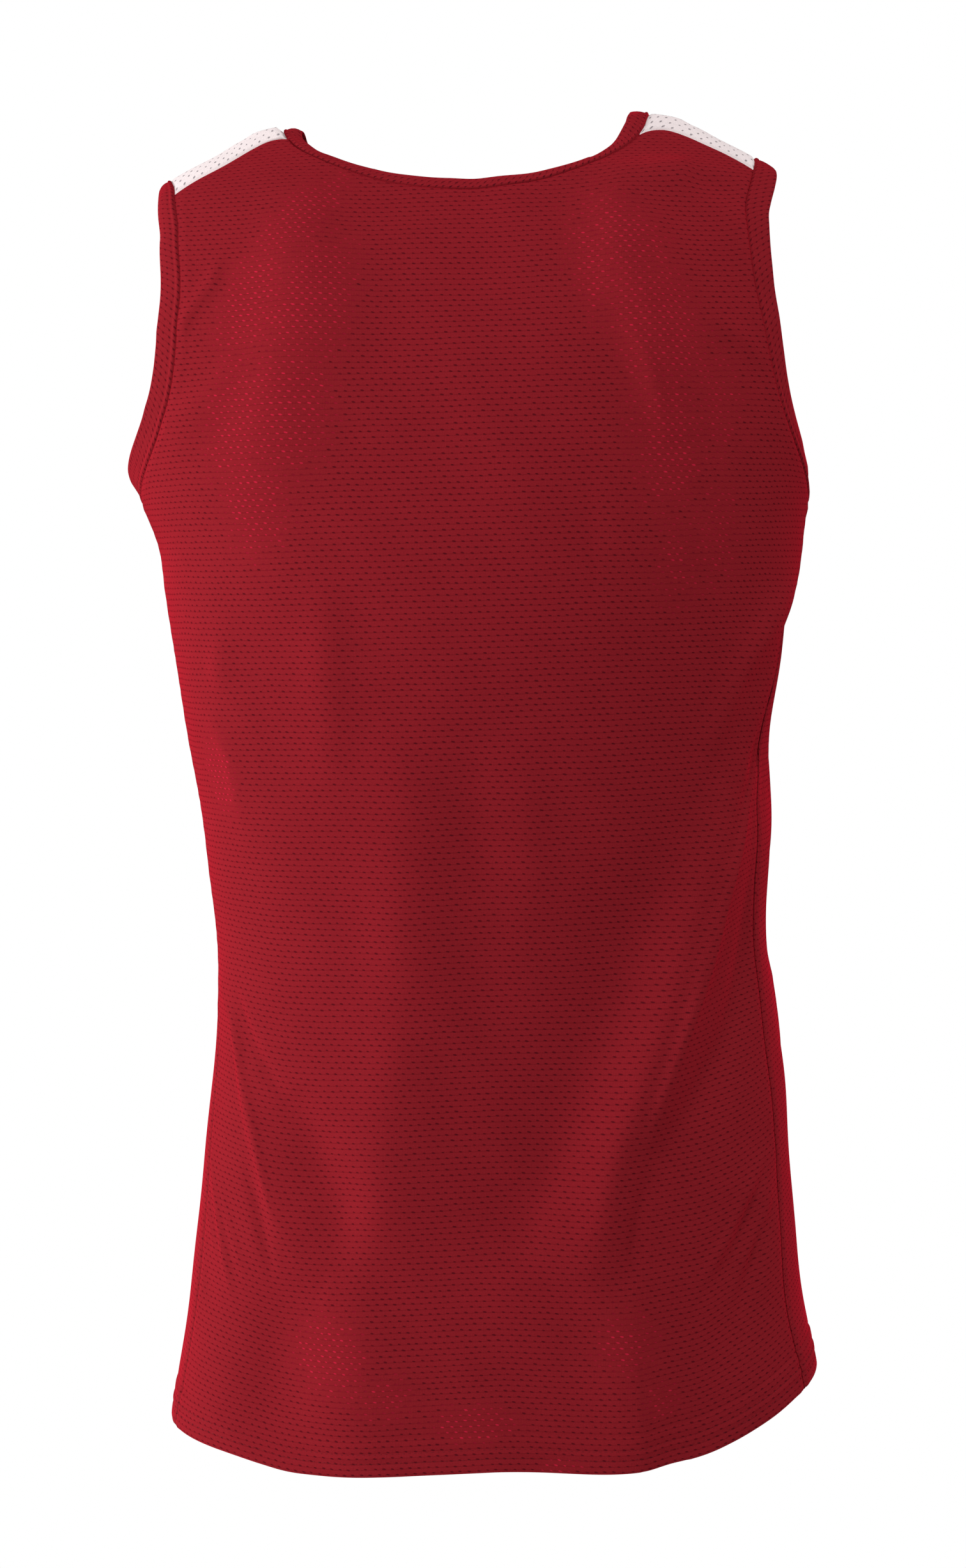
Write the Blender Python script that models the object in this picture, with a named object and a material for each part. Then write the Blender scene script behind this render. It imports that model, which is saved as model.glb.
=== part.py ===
import math

import bpy
import numpy as np

# A basketball jersey, filled out as if worn with nobody in it. Metres, +Z up. The front
# faces -Y, the wearer's left is +X, and the origin lies midway between the shoulder crests.

CLOTH = 0.0016
HEM_THICKNESS = 0.0024
HEM_DEPTH = 0.020
SEAM_GAP = 0.0003

# Level sections of the filled-out cloth. Above the armholes they close over the shoulders.
BODY_COLUMNS = ("height", "half_width", "centre", "back", "front", "squareness")
BODY = (
    (0.006, 0.020, 0.0000, 0.002, 0.002, 2.20),
    (0.002, 0.060, 0.0000, 0.008, 0.008, 2.20),
    (-0.0035, 0.106, 0.0000, 0.022, 0.020, 2.30),
    (-0.0095, 0.121, 0.0000, 0.031, 0.028, 2.30),
    (-0.0175, 0.135, 0.0000, 0.042, 0.038, 2.30),
    (-0.0270, 0.153, 0.0010, 0.054, 0.050, 2.30),
    (-0.0385, 0.1695, 0.0020, 0.067, 0.062, 2.30),
    (-0.062, 0.1840, 0.0010, 0.086, 0.080, 2.35),
    (-0.100, 0.190, 0.0000, 0.106, 0.100, 2.40),
    (-0.150, 0.188, 0.0000, 0.122, 0.116, 2.40),
    (-0.205, 0.179, -0.0010, 0.1292, 0.125, 2.40),
    (-0.228, 0.1725, -0.0022, 0.1303, 0.127, 2.40),
    (-0.250, 0.1685, -0.0010, 0.1304, 0.127, 2.40),
    (-0.290, 0.1630, 0.0000, 0.1285, 0.125, 2.40),
    (-0.330, 0.1563, 0.0012, 0.1243, 0.122, 2.40),
    (-0.390, 0.1515, -0.0022, 0.117, 0.116, 2.40),
    (-0.450, 0.1478, -0.0028, 0.1103, 0.110, 2.40),
    (-0.480, 0.1505, -0.0038, 0.1082, 0.109, 2.40),
    (-0.520, 0.1549, -0.0040, 0.107, 0.110, 2.40),
    (-0.600, 0.1625, -0.0006, 0.108, 0.115, 2.35),
    (-0.640, 0.1677, 0.0010, 0.107, 0.117, 2.30),
    (-0.680, 0.1745, 0.0008, 0.104, 0.118, 2.30),
    (-0.705, 0.1778, 0.0016, 0.101, 0.118, 2.30),
    (-0.745, 0.1800, 0.0016, 0.096, 0.116, 2.30),
)
# Points below this height are drawn out level from the middle line, points above it from its end.
PIVOT_HEIGHT = -0.215
SEARCH_STEPS = 40

# The armholes seen from the side, as depth behind the middle and height, round from the top.
ARMHOLE_COLUMNS = ("around", "left_depth", "left_height", "right_depth", "right_height")
ARMHOLE = (
    (0, 0.000, -0.030, 0.000, -0.028),
    (30, 0.037, -0.040, 0.035, -0.040),
    (60, 0.067, -0.077, 0.062, -0.069),
    (90, 0.081, -0.124, 0.0755, -0.113),
    (120, 0.077, -0.163, 0.072, -0.162),
    (150, 0.050, -0.191, 0.048, -0.193),
    (180, 0.004, -0.205, 0.004, -0.212),
    (210, -0.045, -0.196, -0.045, -0.201),
    (240, -0.078, -0.165, -0.078, -0.168),
    (270, -0.084, -0.122, -0.084, -0.124),
    (300, -0.066, -0.077, -0.066, -0.078),
    (330, -0.034, -0.040, -0.034, -0.040),
)

# The neck seam seen from above, round from centre back towards the wearer's left, and how
# far the band pulls it down into the body.
NECK_COLUMNS = ("around", "across", "depth", "drop")
NECK = (
    (0, 0.000, 0.073, 0.000),
    (30, 0.046, 0.064, 0.000),
    (60, 0.084, 0.038, 0.001),
    (90, 0.098, 0.002, 0.003),
    (120, 0.087, -0.044, 0.002),
    (150, 0.052, -0.081, 0.000),
    (180, 0.000, -0.096, 0.000),
    (210, -0.052, -0.081, 0.000),
    (240, -0.087, -0.044, 0.000),
    (270, -0.098, 0.002, 0.000),
    (300, -0.087, 0.040, 0.000),
    (330, -0.049, 0.066, 0.000),
)

# The long seams of the shoulder inserts: their ends, as places round the neck and round the
# armhole, and the places that they pass between, as half width and depth behind the crest.
INSERT_COLUMNS = ("neck", "arm")
INSERTS = {
    "left back": (74, 31),
    "left front": (117, -31),
    "right back": (67, 24),
    "right front": (117, -31),
}
INSERT_COURSES = {
    "left back": ((0.103, 0.0222), (0.112, 0.0245), (0.128, 0.0325), (0.143, 0.0358)),
    "left front": ((0.112, -0.033),),
    "right back": ((0.096, 0.0280), (0.105, 0.0228), (0.117, 0.0222), (0.130, 0.0250), (0.143, 0.0272)),
    "right front": ((0.112, -0.033),),
}
DROP_BLEND = 6  # how soon a long seam leaves the neck seam's drop: a power of the share still to go

# Bottom edge, by the angle round the body from centre back to the wearer's left.
HEM = (
    (-180, -0.690),
    (-130, -0.688),
    (-100, -0.679),
    (-84, -0.679),
    (-75, -0.685),
    (-66, -0.695),
    (-59, -0.703),
    (-53, -0.709),
    (-46, -0.712),
    (0, -0.712),
    (30, -0.714),
    (45, -0.715),
    (52, -0.714),
    (59, -0.710),
    (66, -0.706),
    (80, -0.700),
    (95, -0.696),
    (130, -0.693),
    (180, -0.690),
)

# Side seams: height, then the angle round the body on each side. They end near the foot height.
SIDE_FOOT = -0.700
SIDE_SEAM_COLUMNS = ("height", "left", "right")
SIDE_SEAM = (
    (-0.203, 85, 85),
    (-0.300, 84, 79),
    (-0.370, 82, 72),
    (-0.430, 80, 73),
    (-0.560, 76.5, 74),
    (-0.620, 75.5, 74),
    (-0.660, 78, 75.5),
    (-0.710, 81, 78),
)

# Largest folds, from one place to another as angle and height. The rise is outward, and the
# cloth falls away within "before" on the side towards the wearer's left and "after" on the other.
FOLD_COLUMNS = ("angle_1", "height_1", "angle_2", "height_2", "before", "after", "rise")
FOLDS = (
    (50, -0.060, 40, -0.190, 0.030, 0.024, 0.0045),
    (37, -0.090, 33, -0.210, 0.016, 0.022, -0.0030),
    (-32, -0.070, -42, -0.180, 0.022, 0.030, 0.0040),
    (19, -0.310, 27, -0.500, 0.026, 0.020, 0.0040),
    (-11, -0.330, -11, -0.450, 0.024, 0.020, 0.0030),
    (-58, -0.388, -14, -0.592, 0.040, 0.022, 0.0080),
    (-66, -0.400, -38, -0.580, 0.016, 0.014, -0.0070),
    (-70, -0.350, -48, -0.495, 0.010, 0.016, 0.0060),
    (72, -0.455, 49, -0.607, 0.016, 0.012, 0.0060),
    (64, -0.470, 44, -0.600, 0.012, 0.022, -0.0040),
    (70, -0.520, 64, -0.615, 0.010, 0.012, 0.0030),
    (-70, -0.560, -57, -0.612, 0.010, 0.012, 0.0030),
    (150, -0.300, 165, -0.480, 0.030, 0.026, 0.0050),
    (-160, -0.320, -146, -0.500, 0.026, 0.030, 0.0050),
    (112, -0.480, 135, -0.610, 0.022, 0.028, 0.0060),
    (-118, -0.450, -142, -0.600, 0.026, 0.022, 0.0060),
)
FOLD_STRETCHES = 8
# A fold's strength along its length is this much of half a sine wave.
FOLD_START, FOLD_END = 0.12, 0.88

# Folded bands at the neck and armholes: width, thickness, and how far they stand proud.
BAND_THICKNESS = 0.0026
BAND_PROUD = 0.0005
NECK_BAND_WIDTH = 0.0115
ARM_BAND_WIDTH = 0.0130
# How the bands turn in towards the opening, as a bend in 1/m, by place round the neck.
NECK_LEAN = (
    (-180, 20),
    (-110, 20),
    (-85, 15),
    (-68, 40),
    (-55, 100),
    (-40, 100),
    (-25, 70),
    (0, 50),
    (30, 62),
    (62, 110),
    (76, 110),
    (95, 70),
    (115, 40),
    (180, 20),
)
# The same for the armholes, by place round them.
ARM_LEAN_COLUMNS = ("around", "left", "right")
ARM_LEAN = (
    (0, 45, -20),
    (30, 50, 15),
    (70, 12, 12),
    (290, 12, 12),
    (330, 50, 15),
    (360, 45, -20),
)

# An armhole's underarm stretch ends at these places round it.
UNDERARM = {"back": 143, "front": 222}

# Rows of points in the turned-up hem, and cells along each edge.
HEM_ROWS = 2
SIDE_CELLS = 24
UNDERARM_CELLS = {"back": 3, "front": 5}
ARM_CELLS = 13
SHOULDER_CELLS = 7
NECK_CELLS = {"back": 22, "front": 16}
INSERT_CELLS = 6
# Points on a curve before it is spaced evenly.
DENSE = 181

RED = (0.21, 0.005, 0.012, 1.0)
WHITE = (0.80, 0.76, 0.76, 1.0)


def unit(vectors):
    return vectors / np.linalg.norm(vectors, axis=-1, keepdims=True)


def smooth(rows, x):
    # A smooth curve through rows of a place and its value.
    rows = sorted(rows)
    places = np.array([row[0] for row in rows], float)
    values = np.array([row[1] for row in rows], float)
    steps = np.diff(places)
    slopes = np.diff(values) / steps
    bend = np.empty_like(values)
    bend[1:-1] = (slopes[:-1] * steps[1:] + slopes[1:] * steps[:-1]) / (steps[1:] + steps[:-1])
    bend[0], bend[-1] = slopes[0], slopes[-1]
    x = np.clip(x, places[0], places[-1])
    i = np.clip(np.searchsorted(places, x, side="right") - 1, 0, len(steps) - 1)
    t = (x - places[i]) / steps[i]
    start = (2 * t**3 - 3 * t**2 + 1) * values[i] + (t**3 - 2 * t**2 + t) * steps[i] * bend[i]
    end = (3 * t**2 - 2 * t**3) * values[i + 1] + (t**3 - t**2) * steps[i] * bend[i + 1]
    return start + end


def pick(rows, columns, name):
    k = columns.index(name)
    return [(row[0], row[k]) for row in rows]


def body(name, height):
    return smooth(pick(BODY, BODY_COLUMNS, name), height)


def outside(points):
    # Below 0 inside the filled-out body, above 0 outside it.
    height = points[..., 2]
    depth = np.where(points[..., 1] > 0, body("back", height), body("front", height))
    power = body("squareness", height)
    across = np.abs((points[..., 0] - body("centre", height)) / body("half_width", height))
    return across**power + np.abs(points[..., 1] / depth) ** power - 1


def reach(middle, ray, near, far):
    # How many times each ray goes into the way from its middle point to the body's surface.
    low = np.full(ray.shape[:-1], near)
    high = np.full(ray.shape[:-1], far)
    for _ in range(SEARCH_STEPS):
        half = (low + high) / 2
        inside = outside(middle + half[..., None] * ray) < 0
        low = np.where(inside, half, low)
        high = np.where(inside, high, half)
    return high


def snap(points):
    # Moves points in or out, on lines from the middle of the body, until they lie on it.
    middle = np.zeros_like(points)
    middle[..., 2] = np.minimum(points[..., 2], PIVOT_HEIGHT)
    ray = points - middle
    return middle + reach(middle, ray, 0.2, 4.0)[..., None] * ray


def level(angle, height):
    # The points on the body at these angles from centre back and these heights.
    turn = np.radians(np.asarray(angle, float))
    height = np.asarray(height, float) + 0 * turn
    middle = np.stack([0 * turn, 0 * turn, height], -1)
    ray = np.stack([np.sin(turn), np.cos(turn), 0 * turn], -1)
    return middle + reach(middle, ray, 0.01, 0.40)[..., None] * ray


def outward(points):
    # The body's outward normals, from how fast the points leave it each way.
    ways = np.eye(3) * 1e-5
    return unit(np.stack([outside(points + way) - outside(points - way) for way in ways], -1))


def fold_rise(points):
    # How far the folds carry these points of the body outward.
    total = np.zeros(points.shape[:-1])
    for row in FOLDS:
        fold = dict(zip(FOLD_COLUMNS, row))
        share = np.linspace(0, 1, FOLD_STRETCHES + 1)
        line = level(
            fold["angle_1"] + share * (fold["angle_2"] - fold["angle_1"]),
            fold["height_1"] + share * (fold["height_2"] - fold["height_1"]),
        )
        start, along = line[:-1], np.diff(line, axis=0)
        offset = points[..., None, :] - start
        place = np.clip((offset * along).sum(-1) / (along**2).sum(-1), 0, 1)
        offset = offset - place[..., None] * along
        away = np.linalg.norm(offset, axis=-1)
        nearest = away.argmin(-1)[..., None]
        side = np.cross(along, outward(start))
        sign = np.take_along_axis((offset * side).sum(-1), nearest, -1)[..., 0]
        place = (np.arange(FOLD_STRETCHES) + place) / FOLD_STRETCHES
        place = np.take_along_axis(place, nearest, -1)[..., 0]
        width = np.where(sign > 0, fold["before"], fold["after"])
        strength = np.sin(np.pi * (FOLD_START + (FOLD_END - FOLD_START) * place))
        total += fold["rise"] * strength * np.exp(-((away.min(-1) / width) ** 2))
    return total


def folded(points):
    return points + fold_rise(points)[..., None] * outward(points)


def folded_normals(points):
    # Outward normals of the folded cloth, the same for both pieces that meet at a seam.
    normal = outward(points)
    upright = np.broadcast_to((0.0, 0.0, 1.0), normal.shape)
    across = unit(np.cross(normal, upright) + 1e-9) * 0.002
    up = np.cross(across, normal)
    run = folded(points + across) - folded(points - across)
    rise = folded(points + up) - folded(points - up)
    normals = unit(np.cross(run, rise))
    return normals * np.sign((normals * normal).sum(-1, keepdims=True))


def resample(points, count):
    # The same curve with this many points, evenly spaced.
    lengths = np.concatenate([[0], np.cumsum(np.linalg.norm(np.diff(points, axis=0), axis=1))])
    wanted = np.linspace(0, lengths[-1], count)
    return np.stack([np.interp(wanted, lengths, points[:, k]) for k in range(3)], -1)


def side_sign(side):
    return 1 if side == "left" else -1


def round_curve(rows, columns, name, around):
    # A closed curve's value at places round it, in degrees.
    values = pick(rows, columns, name)
    return smooth([(place + turn, value) for turn in (-360, 0, 360) for place, value in values], around)


def arm_points(side, around):
    # Points of an armhole seam at places round it, 0 at the top and 90 at the back.
    around = np.asarray(around, float)
    depth = round_curve(ARMHOLE, ARMHOLE_COLUMNS, side + "_depth", around)
    height = round_curve(ARMHOLE, ARMHOLE_COLUMNS, side + "_height", around)
    furthest = np.where(depth > 0, body("back", height), body("front", height))
    power = body("squareness", height)
    share = (1 - np.abs(depth / furthest) ** power) ** (1 / power)
    x = body("centre", height) + side_sign(side) * body("half_width", height) * share
    return np.stack([x, depth, height], -1)


def top_points(across, depth):
    # Points on top of the body, straight over these places.
    base = np.stack([across, depth, np.full(np.shape(across), PIVOT_HEIGHT)], -1)
    upright = np.broadcast_to((0.0, 0.0, 1.0), base.shape)
    base[..., 2] += reach(base, upright, 0.0, BODY[0][0] - PIVOT_HEIGHT)
    return base


def neck_points(around):
    # Points of the neck seam at places round it, as high as the body is there, less the drop.
    around = np.asarray(around, float)
    across = round_curve(NECK, NECK_COLUMNS, "across", around)
    depth = round_curve(NECK, NECK_COLUMNS, "depth", around)
    points = top_points(across, depth)
    points[..., 2] -= round_curve(NECK, NECK_COLUMNS, "drop", around)
    return points


def insert(side, face, name):
    return INSERTS[side + " " + face][INSERT_COLUMNS.index(name)]


def insert_seam(side, face, count):
    # From the neck seam to the armhole seam, through the places between.
    sign = side_sign(side)
    start = neck_points(sign * insert(side, face, "neck"))
    end = arm_points(side, insert(side, face, "arm"))
    places = [(sign * start[0], start[1]), *INSERT_COURSES[side + " " + face], (sign * end[0], end[1])]
    t = np.linspace(0, 1, DENSE)
    across = (1 - t) * sign * start[0] + t * sign * end[0]
    curve = top_points(sign * across, smooth(places, across))
    curve[:, 2] -= (curve[0, 2] - start[2]) * (1 - t) ** DROP_BLEND
    curve[0], curve[-1] = start, end
    return resample(curve, count)


def side_angle(side, height):
    return side_sign(side) * smooth(pick(SIDE_SEAM, SIDE_SEAM_COLUMNS, side), height)


def seam_foot(side):
    # Where the side seam meets the armhole: its place round the armhole.
    places = np.linspace(150, 200, DENSE)
    points = arm_points(side, places)
    angles = np.degrees(np.arctan2(np.abs(points[:, 0]), points[:, 1]))
    return float(np.interp(abs(side_angle(side, points[:, 2].min())), angles, places))


def hem_height(angle):
    return smooth(HEM, angle)


def side_seam(side):
    # Up from the hem to the armhole, with one row at the top of the turn-up.
    top = arm_points(side, seam_foot(side))
    foot = float(hem_height(side_angle(side, SIDE_FOOT)))
    heights = np.concatenate([[foot], np.linspace(foot + HEM_DEPTH, top[2], SIDE_CELLS)])
    points = level(side_angle(side, heights), heights)
    points[-1] = top
    return points


def underarm(side, face):
    # The armhole seam from the side seam to where it turns upward.
    dense = arm_points(side, np.linspace(seam_foot(side), UNDERARM[face], DENSE))
    return resample(dense, UNDERARM_CELLS[face] + 1)


def arm_edge(side, face):
    # The armhole seam from there up to the insert.
    end = insert(side, face, "arm") + (0 if face == "back" else 360)
    dense = arm_points(side, np.linspace(UNDERARM[face], end, DENSE))
    return resample(dense, ARM_CELLS + 1)


def shares(first, second):
    # How far along two edges each of their points lies, on average, from 0 to 1.
    found = []
    for edge in (first, second):
        lengths = np.concatenate([[0], np.cumsum(np.linalg.norm(np.diff(edge, axis=0), axis=1))])
        found.append(lengths / lengths[-1])
    return (found[0] + found[1]) / 2


def mix_edges(bottom, top, left, right, u, v):
    # Fills in between four edges that share their corners, in any number of dimensions.
    across = (1 - u) * left[:, None] + u * right[:, None]
    along = (1 - v) * bottom[None] + v * top[None]
    corners = (1 - v) * ((1 - u) * bottom[0] + u * bottom[-1]) + v * ((1 - u) * top[0] + u * top[-1])
    return across + along - corners


def swing(points, face):
    # The angle whose sine is how far out a point lies on its level section, from the middle
    # of one face and past 90 degrees on the other, with the point's height.
    height = points[..., 2]
    across = (points[..., 0] - body("centre", height)) / body("half_width", height)
    angle = np.arcsin(np.clip(across, -1, 1))
    beyond = points[..., 1] < 0 if face == "back" else points[..., 1] > 0
    return np.stack([np.where(beyond, np.sign(angle) * np.pi - angle, angle), height], -1)


def unswing(places, face):
    # The points on the body whose swing this is.
    angle, height = places[..., 0], places[..., 1]
    ahead = (np.cos(angle) > 0) == (face == "back")
    power = body("squareness", height)
    depth = np.where(ahead, body("back", height), -body("front", height))
    depth = depth * (1 - np.abs(np.sin(angle)) ** power) ** (1 / power)
    x = body("centre", height) + body("half_width", height) * np.sin(angle)
    return np.stack([x, depth, height], -1)


def fill(bottom, top, left, right, face=None):
    # A grid of points between four edges that share their corners, laid on the body: by swing
    # on a face, and straight between the edges on a shoulder.
    u = shares(bottom, top)[None, :, None]
    v = shares(left, right)[:, None, None]
    if face is None:
        grid = snap(mix_edges(bottom, top, left, right, u, v))
    else:
        edges = [swing(edge, face) for edge in (bottom, top, left, right)]
        grid = unswing(mix_edges(*edges, u, v), face)
    grid[0], grid[-1], grid[:, 0], grid[:, -1] = bottom, top, left, right
    return grid


def panel_mesh(face):
    # Points, cells and hem points of a panel. Columns run from the wearer's left to the right
    # on the back, and back again on the front. The lower grid reaches the underarm, and the
    # upper one goes on between the armholes.
    near, far = ("left", "right") if face == "back" else ("right", "left")
    turn = 0 if face == "back" else -360
    start, end = side_angle(near, SIDE_FOOT), side_angle(far, SIDE_FOOT) + turn
    angles = (np.linspace(start, end, 2 * DENSE) + 180) % 360 - 180
    middle = 2 * SHOULDER_CELLS + NECK_CELLS[face]
    spare = UNDERARM_CELLS[face]
    hem = resample(level(angles, hem_height(angles)), middle + 2 * spare + 1)
    sides = [side_seam(near), side_seam(far)]
    hem[0], hem[-1] = sides[0][0], sides[1][0]
    pits = [underarm(near, face), underarm(far, face)[::-1]]
    ends = swing(np.stack([pits[0][-1], pits[1][0]]), face)
    share = np.linspace(0, 1, DENSE)[:, None]
    chest = resample(unswing(ends[0] + share * (ends[1] - ends[0]), face), middle + 1)
    lower = fill(hem, np.concatenate([pits[0][:-1], chest, pits[1][1:]]), *sides, face)
    arms = [arm_edge(near, face), arm_edge(far, face)]
    neck_start = side_sign(near) * insert(near, face, "neck")
    neck_end = side_sign(far) * insert(far, face, "neck")
    around = np.linspace(neck_start, turn + neck_end, DENSE)
    neck = resample(neck_points(around), NECK_CELLS[face] + 1)
    first = insert_seam(near, face, SHOULDER_CELLS + 1)[::-1]
    last = insert_seam(far, face, SHOULDER_CELLS + 1)
    upper = fill(chest, np.concatenate([first[:-1], neck, last[1:]]), *arms, face)
    numbers = np.arange(lower.size // 3).reshape(lower.shape[:2])
    more = numbers.size + np.arange(upper[1:].size // 3).reshape(-1, middle + 1)
    above = np.concatenate([numbers[-1:, spare : spare + middle + 1], more])
    points = np.concatenate([lower.reshape(-1, 3), upper[1:].reshape(-1, 3)])
    return points, np.concatenate([cells_of(numbers), cells_of(above)]), numbers[:HEM_ROWS].ravel()


def insert_mesh(side):
    # Rows go from the back seam over the crest to the front seam.
    sign = side_sign(side)
    bottom = insert_seam(side, "back", SHOULDER_CELLS + 1)
    top = insert_seam(side, "front", SHOULDER_CELLS + 1)
    neck = sign * np.linspace(insert(side, "back", "neck"), insert(side, "front", "neck"), DENSE)
    arm = np.linspace(insert(side, "back", "arm"), insert(side, "front", "arm"), DENSE)
    neck_end = resample(neck_points(neck), INSERT_CELLS + 1)
    arm_end = resample(arm_points(side, arm), INSERT_CELLS + 1)
    grid = fill(bottom, top, neck_end, arm_end)
    if side == "left":
        grid = grid[:, ::-1]
    return grid.reshape(-1, 3), cells_of(np.arange(grid.size // 3).reshape(grid.shape[:2]))


def cells_of(numbers):
    # Four-sided cells of a grid of vertex numbers, facing outward.
    corners = (numbers[:-1, :-1], numbers[:-1, 1:], numbers[1:, 1:], numbers[1:, :-1])
    return np.stack([corner.ravel() for corner in corners], -1)


def border_of(cells):
    # The edges that only one cell has, in that cell's direction.
    edges = np.concatenate([cells[:, [k, (k + 1) % 4]] for k in range(4)])
    both = {tuple(edge) for edge in edges.tolist()}
    return np.array([edge for edge in edges.tolist() if (edge[1], edge[0]) not in both])


def normals_of(points, cells):
    corners = points[cells]
    faces = np.cross(corners[:, 2] - corners[:, 0], corners[:, 3] - corners[:, 1])
    total = np.zeros_like(points)
    for k in range(4):
        np.add.at(total, cells[:, k], faces)
    return unit(total)


def draw_back(points, cells, distance):
    # Draws a panel's edge back from its seams by the same distance all round.
    border = border_of(cells)
    normals = normals_of(points, cells)
    run = unit(points[border[:, 1]] - points[border[:, 0]])
    outwards = unit(np.cross(run, normals[border].mean(axis=1)))
    total = np.zeros_like(points)
    for k in range(2):
        np.add.at(total, border[:, k], outwards)
    moved = points.copy()
    edge = np.unique(border)
    moved[edge] -= distance * 2 * total[edge] / (total[edge] ** 2).sum(-1, keepdims=True)
    return moved


def cloth_material(name, colour, roughness):
    material = bpy.data.materials.new(name)
    material.use_nodes = True
    shader = material.node_tree.nodes["Principled BSDF"]
    shader.inputs["Base Color"].default_value = colour
    shader.inputs["Roughness"].default_value = roughness
    shader.inputs["Metallic"].default_value = 0.0
    return material


def add_object(name, points, faces, material):
    mesh = bpy.data.meshes.new(name)
    mesh.from_pydata(points.tolist(), [], faces)
    mesh.materials.append(material)
    mesh.shade_smooth()
    mesh.set_sharp_from_angle(angle=math.radians(40))
    item = bpy.data.objects.new(name, mesh)
    bpy.context.scene.collection.objects.link(item)
    return item


def add_wall(name, points, cells, thickness, material):
    # One closed wall with these cells outside and the same ones, moved in, inside.
    outer = draw_back(folded(points), cells, SEAM_GAP / 2)
    inner = outer - thickness * folded_normals(points)
    count = len(points)
    rim = [(b, a, a + count, b + count) for a, b in border_of(cells).tolist()]
    faces = cells.tolist() + (cells[:, ::-1] + count).tolist() + rim
    return add_object(name, np.concatenate([outer, inner]), faces, material)


def make_panel(face, material):
    points, cells, hem = panel_mesh(face)
    thickness = np.full((len(points), 1), CLOTH)
    thickness[hem] = HEM_THICKNESS
    return add_wall(face + "_panel", points, cells, thickness, material)


def make_insert(side, material):
    return add_wall("shoulder_insert_" + side, *insert_mesh(side), CLOTH, material)


def band_profile(width):
    # Across a folded band: distance from the seam and height over the cloth, outer face first.
    proud, under = BAND_PROUD, BAND_PROUD - BAND_THICKNESS
    half = (proud + under) / 2
    return (
        (SEAM_GAP / 2, 0.0),
        (0.15 * width, proud),
        (0.55 * width, proud),
        (0.93 * width, proud),
        (width, half),
        (0.93 * width, under),
        (0.50 * width, under),
        (SEAM_GAP / 2, under),
    )


def make_band(name, seam, lean, width, material):
    # A ring of cloth that carries on past a closed seam, turning in as it goes.
    centre = seam.mean(axis=0)
    normal = outward(seam)
    seam = folded(seam)
    tangent = np.roll(seam, -1, axis=0) - np.roll(seam, 1, axis=0)
    away = unit(np.cross(tangent, normal))
    if (away * (centre - seam)).sum() < 0:
        away = -away
    profile = band_profile(width)
    rings = []
    radius = 1 / np.where(np.abs(lean) < 0.01, 0.01, lean)[:, None]
    for distance, height in profile:
        turn = distance / radius
        spine = seam + away * radius * np.sin(turn) - normal * radius * (1 - np.cos(turn))
        rings.append(spine + height * (normal * np.cos(turn) + away * np.sin(turn)))
    count = len(seam)
    faces = []
    for k in range(len(profile)):
        after = (k + 1) % len(profile)
        for j in range(count):
            beyond = (j + 1) % count
            faces.append((k * count + j, after * count + j, after * count + beyond, k * count + beyond))
    if np.cross(tangent[0], away[0]) @ normal[0] > 0:
        faces = [face[::-1] for face in faces]
    return add_object(name, np.concatenate(rings), faces, material)


def ring(curve, stops, counts):
    # Points round a closed seam, evenly spaced between its stops, and their places round it.
    points, around = [], []
    for start, end, count in zip(stops, stops[1:], counts):
        points.append(resample(curve(np.linspace(start, end, DENSE)), count + 1)[:-1])
        around.append(np.linspace(start, end, count + 1)[:-1])
    return np.concatenate(points), np.concatenate(around) % 360


def arm_ring(side):
    # The whole armhole seam from the side seam up the back, with the panels' and the insert's
    # points, and their places round it.
    foot = seam_foot(side)
    over = (insert(side, "back", "arm"), insert(side, "front", "arm"))
    stops = (foot, UNDERARM["back"], *over, UNDERARM["front"] - 360, foot - 360)
    counts = (UNDERARM_CELLS["back"], ARM_CELLS, INSERT_CELLS, ARM_CELLS, UNDERARM_CELLS["front"])
    return ring(lambda around: arm_points(side, around), stops, counts)


def neck_ring():
    # The whole neck seam, from the right insert's back corner round the back to the left.
    left = (insert("left", "back", "neck"), insert("left", "front", "neck"))
    right = (360 - insert("right", "front", "neck"), 360 - insert("right", "back", "neck"))
    stops = (right[1] - 360, *left, *right)
    counts = (NECK_CELLS["back"], INSERT_CELLS, NECK_CELLS["front"], INSERT_CELLS)
    return ring(neck_points, stops, counts)


def main():
    for item in list(bpy.data.objects):
        bpy.data.objects.remove(item, do_unlink=True)
    red = cloth_material("red_eyelet_mesh", RED, 0.75)
    white = cloth_material("white_eyelet_mesh", WHITE, 0.75)
    make_panel("back", red)
    make_panel("front", red)
    for side in ("left", "right"):
        make_insert(side, white)
        seam, around = arm_ring(side)
        lean = smooth(pick(ARM_LEAN, ARM_LEAN_COLUMNS, side), around)
        make_band("armhole_binding_" + side, seam, lean, ARM_BAND_WIDTH, red)
    seam, around = neck_ring()
    lean = smooth(NECK_LEAN, (around + 180) % 360 - 180)
    make_band("neck_binding", seam, lean, NECK_BAND_WIDTH, red)


main()
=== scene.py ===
import math

import bmesh
import bpy
import numpy as np
from mathutils import Matrix
from mathutils.kdtree import KDTree


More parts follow.
